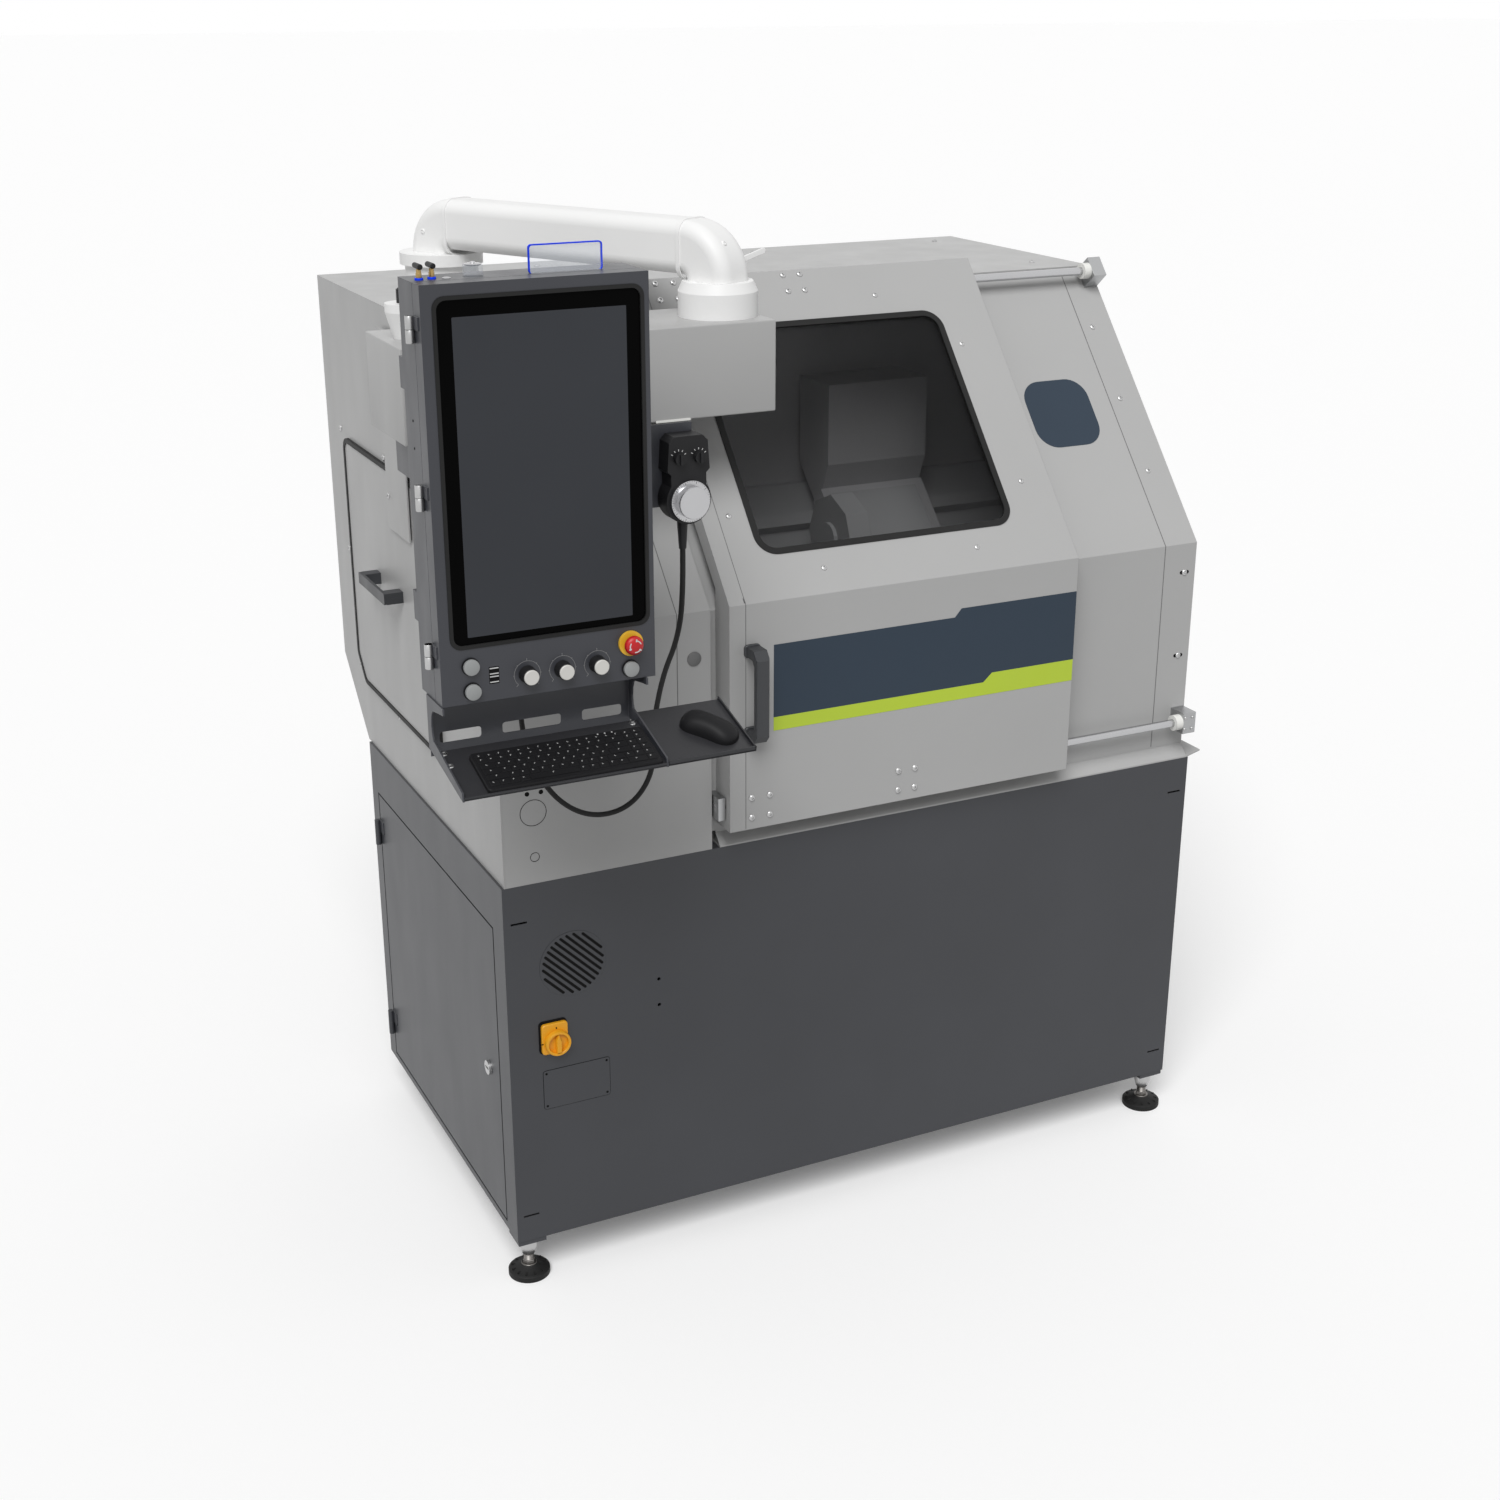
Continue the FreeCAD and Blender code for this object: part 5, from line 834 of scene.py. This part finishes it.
def add_clear_fittings():
    """A clear lamp body with a bright top and a clear sheet with blue edges."""
    lamp, cap, sheet, edges = bmesh.new(), bmesh.new(), bmesh.new(), bmesh.new()
    at = (-843, -284)
    lathe(lamp, CONSOLE_TOP, at, [(15.0, 0.0), (15.0, 16.0), (14.0, 17.5)], 40)
    lathe(cap, CONSOLE_TOP, at, [(12.0, 16.0), (13.2, 17.6), (11.0, 18.6), (4.0, 19.0), (3.4, 21.0)], 40)
    fittings = sides("clear_fittings")
    low, top, right, left = sides("console_box").top, fittings.top, fittings.right, fittings.right - 115
    slab(sheet, front_face(-288), block(left, low, right, top - 0.2, 5, 4), 0.0, 4.0)
    outer = block(left - 0.3, low - 1, right + 0.3, top, 5, 4)
    inner = block(left + 1.4, low - 0.5, right - 1.4, top - 1.8, 4, 4)
    band(edges, front_face(-290), outer, inner, -2.3, 2.3)
    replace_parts(make("lamp_body", lamp, "clear_plastic", "console", smooth=40), "clear_fittings")
    make("lamp_cap", cap, "steel", "console", smooth=40)
    make("clear_sheet", sheet, "clear_plastic", "console")
    make("sheet_edges", edges, BLUE_EDGE, "console")
    button = bmesh.new()
    lathe(button, CONSOLE_TOP, (-885, -290), [(6.5, 0.0), (6.5, 0.8), (5.5, 1.6), (2.0, 2.4)], 28)
    make("top_button", button, "steel", "console", smooth=40)


# ------------------------------------------------------------ tray and pendant
def add_tray():
    """Folded sheet: hooked cheeks, a web with three windows, a leaning deck and a mouse shelf."""
    left, sheet = sides("keyboard_tray").left, 3.0
    right, shelf_right, deck_back, shelf_back = left + 337, left + 489, 123, 142
    deck, metal = bmesh.new(), bmesh.new()
    slab(deck, DECK, block(left + sheet, -5, right - sheet, deck_back), -sheet, 0)
    slab(deck, DECK, block(left + sheet, -5, right - sheet, -2.5), -sheet, 3)
    slab(deck, DECK, block(right + 0.5, -5, shelf_right, shelf_back), -sheet, 0)
    slab(deck, DECK, block(right + 0.5, -5, shelf_right, -2.5), -sheet, 6)
    slab(deck, DECK, block(shelf_right - 2.5, -5, shelf_right, shelf_back), -sheet, 6)
    make("tray_deck", deck, TRAY_DARK, "console")
    turns = (1.3, 0.9, 0.5, 0.0, -0.4, -0.8)
    neck = [(299 - 16 * math.cos(turn), 1262 + 30 * math.sin(turn)) for turn in turns]
    hook = [(265, 1222), (265, 1310), (345, 1310), (346, 1299), (330, 1297)]
    cheek = [*hook, *neck, (312, 1234), (420, 1201), (422.8, 1187)]
    for x in (left + sheet, right):
        slab(metal, left_face(x), cheek[::-1], 0, sheet)
    windows = []
    for start, end in ((16, 84), (119, 217), (253, 321)):
        windows.append(block(left + start, 1227.5, left + end, 1245.5, 5, 4))
    pierced(metal, front_face(-270), block(left + 1, 1208, right - 1, 1309.5), windows, -1.5, 0)
    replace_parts(make("tray_sheet", metal, "console_slate", "console"), "keyboard_tray")
    places = [(DECK, left + 9, 82), (DECK, left + 10, 115), (DECK, right - 12, 115)]
    screws("tray_screws", "console", places, 6.0, 1.6)


def add_keyboard():
    """A thin keyboard along the deck's front edge, each key with a small light mark."""
    left, right, front, back, thick = -902.0, -615.0, -2.0, 94.0, 8.0
    case = bmesh.new()
    slab(case, DECK, block(left, front, right, back, 5, 4), 0.0, thick, 1.2)
    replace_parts(make("keyboard_case", case, KEYS, "console", smooth=30), "keyboard")
    rows = (
        [1] * 17,
        [1] * 13 + [2, 1, 1],
        [1.5] + [1] * 12 + [1.5, 1, 1],
        [1.75] + [1] * 11 + [2.25, 1, 1],
        [2.25] + [1] * 10 + [1.75, 1, 1, 1],
        [1, 1, 1, 1, 5, 1, 1, 1, 1, 1, 2, 1],
    )
    keys, marks, pitch = bmesh.new(), bmesh.new(), 14.6
    for row, widths in enumerate(rows):
        start, low = left + 6.0, back - 15.0 - row * pitch
        high = low + (9.0 if row == 0 else pitch - 1.4)
        for width in widths:
            wide = (right - left - 12.0) * width / sum(widths)
            key = block(start + 0.7, low, start + wide - 0.7, high, 1.4, 2)
            slab(keys, DECK, key, thick - 1, thick + 1.2, 0.4)
            sign, shift = start + wide / 2 - 2.5, (start * 7 + row) % 3
            slab(marks, DECK, block(sign, high - 6.2, sign + 0.6, high - 3.4), thick + 1.1, thick + 1.4)
            foot = high - 6.2 + shift
            slab(marks, DECK, block(sign, foot, sign + 2.2, foot + 0.6), thick + 1.1, thick + 1.4)
            start += wide
    make("key_caps", keys, KEYS, "console")
    make("key_marks", marks, INK, "console")
    lights = bmesh.new()
    for x in (-690, -678, -666):
        lathe(lights, DECK, (x, back - 3.5), [(1.3, thick - 0.5), (1.3, thick + 0.4)], 12)
    make("keyboard_lights", lights, INK, "console")


def add_mouse():
    """A rounded shell, higher at the palm, that lies turned on its shelf."""
    width, length, height = 28.0, 50.0, 27.0
    shell = bmesh.new()
    bmesh.ops.create_uvsphere(shell, u_segments=40, v_segments=24, radius=1.0)
    for vert in shell.verts:
        x, y, z = vert.co
        waist = 1.0 - 0.16 * math.cos(math.pi * y)
        vert.co.x = math.copysign(abs(x) ** 0.85, x) * width * waist
        vert.co.y = math.copysign(abs(y) ** 0.9, y) * length
        vert.co.z = max(0.0, math.copysign(abs(z) ** 0.75, z) * height * (1.0 + 0.12 * y))
    bmesh.ops.dissolve_degenerate(shell, dist=0.0001, edges=shell.edges)
    shell.transform(Matrix.Translation((-508, 62, 0)) @ Matrix.Rotation(math.radians(40), 4, "Z"))
    shell.transform(DECK)
    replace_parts(make("mouse_shell", shell, KEYS, "console", smooth=60), "mouse")


def add_pendant_details():
    """The handwheel's rim and scale and the marks over the two selectors."""
    at = middle("handwheel")
    rim = bmesh.new()
    lathe(rim, PENDANT_FRONT, at, [(25.3, 8.0), (25.6, 9.0), (25.6, 20.5), (24.4, 22.2)], 72)
    make("wheel_rim", rim, "steel", "pulse_wheel", smooth=30)
    marks = bmesh.new()
    for step in range(50):
        tick(marks, PENDANT_FRONT, at, 31.0 if step % 5 else 28.5, 32.6, 0.6, 7.2 * step, 7.9, 8.15)
    make("wheel_marks", marks, DARK_MARK_AND_SHADE, "pulse_wheel")
    scales = bmesh.new()
    for name in ("axis_selector", "step_selector"):
        for step in range(5):
            tick(scales, PENDANT_FRONT, middle(name), 11.5, 14.5, 1.1, 30 + 30 * step, 0.05, 0.3)
    make("selector_marks", scales, INK, "console")


def add_cable():
    """The pendant's free cable: down behind the shelf and the tray and up to the console."""
    route = (
        (-516, -281, 1494), (-516, -281, 1409), (-508, -236, 1326), (-510, -180, 1250),
        (-522, -162, 1156), (-522, -163, 1070), (-570, -166, 1014), (-644, -165, 1010),
        (-708, -158, 1058), (-744, -140, 1142), (-746, -124, 1232), (-738, -126, 1340),
        (-738, -226, 1340),
    )
    diameter = 0.009
    data = bpy.data.curves.new("pendant_lead", "CURVE")
    data.dimensions = "3D"
    line = data.splines.new("NURBS")
    line.points.add(len(route) - 1)
    for point, place in zip(line.points, route):
        point.co = (*spot(*place), 1)
    line.order_u = 3
    line.use_endpoint_u = True
    data.resolution_u = 12
    data.bevel_depth = diameter / 2
    data.bevel_resolution = 5
    data.use_fill_caps = True
    data.materials.append(SLOTS["black_rubber"])
    lead = bpy.data.objects.new("pendant_lead", data)
    bpy.context.scene.collection.objects.link(lead)
    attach(lead, "console")
    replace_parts(lead, "pendant_cable")


add_vent()
add_blank_plate()
add_switch()
add_side_door_gap()
add_feet()
add_hatch_gasket()
add_enclosure_screws()
add_cover_marks()
add_seams()
add_slope_panel()
add_service_panels()
add_door_band()
add_door_details()
add_arm_details()
add_carrier()
add_clamp_details()
add_display()
add_buttons()
add_dials()
add_stop_button()
add_ports()
add_hinge_sleeves()
add_valves()
add_clear_fittings()
add_tray()
add_keyboard()
add_mouse()
add_pendant_details()
add_cable()

# --------------------------------------------------------------------- camera
camera_data = bpy.data.cameras.new("camera")
camera_data.lens = 48.86
camera_data.sensor_width = 36.0
camera_data.clip_end = 200.0
camera = bpy.data.objects.new("camera", camera_data)
bpy.context.scene.collection.objects.link(camera)
forward = Vector((0.4097, 0.8400, -0.3558)).normalized()
right = Vector((0.8988, -0.4384, 0.0)).normalized()
turn = Matrix((right, right.cross(forward), -forward)).transposed().to_4x4()
camera.matrix_world = Matrix.Translation(spot(-1793.1, -3143.0, 2343.8)) @ turn
bpy.context.scene.camera = camera


# ----------------------------------------------------------- floor and lights
def split_by_ray(tree, bright_rays, seen, lit, x, y):
    """Shows one shader to the named kinds of ray and another to the rest."""
    path = node(tree, "ShaderNodeLightPath", x - 600, y + 200)
    rays = path.outputs[bright_rays[0]]
    for number, kind in enumerate(bright_rays[1:]):
        either = node(tree, "ShaderNodeMath", x - 400 + 180 * number, y + 200, operation="MAXIMUM")
        tree.links.new(rays, either.inputs[0])
        tree.links.new(path.outputs[kind], either.inputs[1])
        rays = either.outputs["Value"]
    choice = node(tree, "ShaderNodeMixShader", x, y)
    tree.links.new(rays, choice.inputs["Fac"])
    tree.links.new(lit, choice.inputs[1])
    tree.links.new(seen, choice.inputs[2])
    return choice.outputs["Shader"]


def matt(tree, grey, glow, x, y):
    """A matt white or grey that also shines by itself, so that shadows on it stay pale."""
    shader = node(tree, "ShaderNodeBsdfPrincipled", x, y)
    shader.inputs["Base Color"].default_value = (grey, grey, grey, 1)
    shader.inputs["Roughness"].default_value = 0.9
    shader.inputs["Specular IOR Level"].default_value = 0.05
    shader.inputs["Emission Color"].default_value = (1, 1, 1, 1)
    shader.inputs["Emission Strength"].default_value = glow
    return shader.outputs["BSDF"]


SEEN_BY = ["Is Camera Ray", "Is Glossy Ray", "Is Transmission Ray"]
floor_mesh = bmesh.new()
bmesh.ops.create_grid(floor_mesh, x_segments=1, y_segments=1, size=90.0)
floor_data = bpy.data.meshes.new("floor")
floor_mesh.to_mesh(floor_data)
floor_mesh.free()
floor = bpy.data.objects.new("floor", floor_data)
bpy.context.scene.collection.objects.link(floor)
floor_paint = bpy.data.materials.new("floor_white")
floor_paint.use_nodes = True
floor_tree = floor_paint.node_tree
floor_tree.nodes.clear()
floor_out = node(floor_tree, "ShaderNodeOutputMaterial", 600, 0)
pale, dim = matt(floor_tree, 0.88, 0.14, 0, 200), matt(floor_tree, 0.48, 0.0, 0, -400)
floor_mix = split_by_ray(floor_tree, SEEN_BY, pale, dim, 400, 0)
floor_tree.links.new(floor_mix, floor_out.inputs["Surface"])
floor_data.materials.append(floor_paint)

world = bpy.data.worlds.new("studio")
bpy.context.scene.world = world
world.use_nodes = True
sky = world.node_tree
sky.nodes.clear()
sky_out = node(sky, "ShaderNodeOutputWorld", 600, 0)
glow = []
for strength, y in ((0.36, 100), (1.0, -100)):
    light = node(sky, "ShaderNodeBackground", 0, y)
    light.inputs["Color"].default_value = (1, 1, 1, 1)
    light.inputs["Strength"].default_value = strength
    glow.append(light.outputs["Background"])
sky.links.new(split_by_ray(sky, SEEN_BY, glow[1], glow[0], 400, 0), sky_out.inputs["Surface"])

sun_data = bpy.data.lights.new("overhead", "SUN")
sun_data.energy = 2.42
sun_data.angle = math.radians(35)
sun = bpy.data.objects.new("overhead", sun_data)
bpy.context.scene.collection.objects.link(sun)
sun.rotation_euler = Vector((-0.35, -0.54, 0.765)).to_track_quat("Z", "Y").to_euler()

bpy.context.scene.view_settings.view_transform = "Standard"
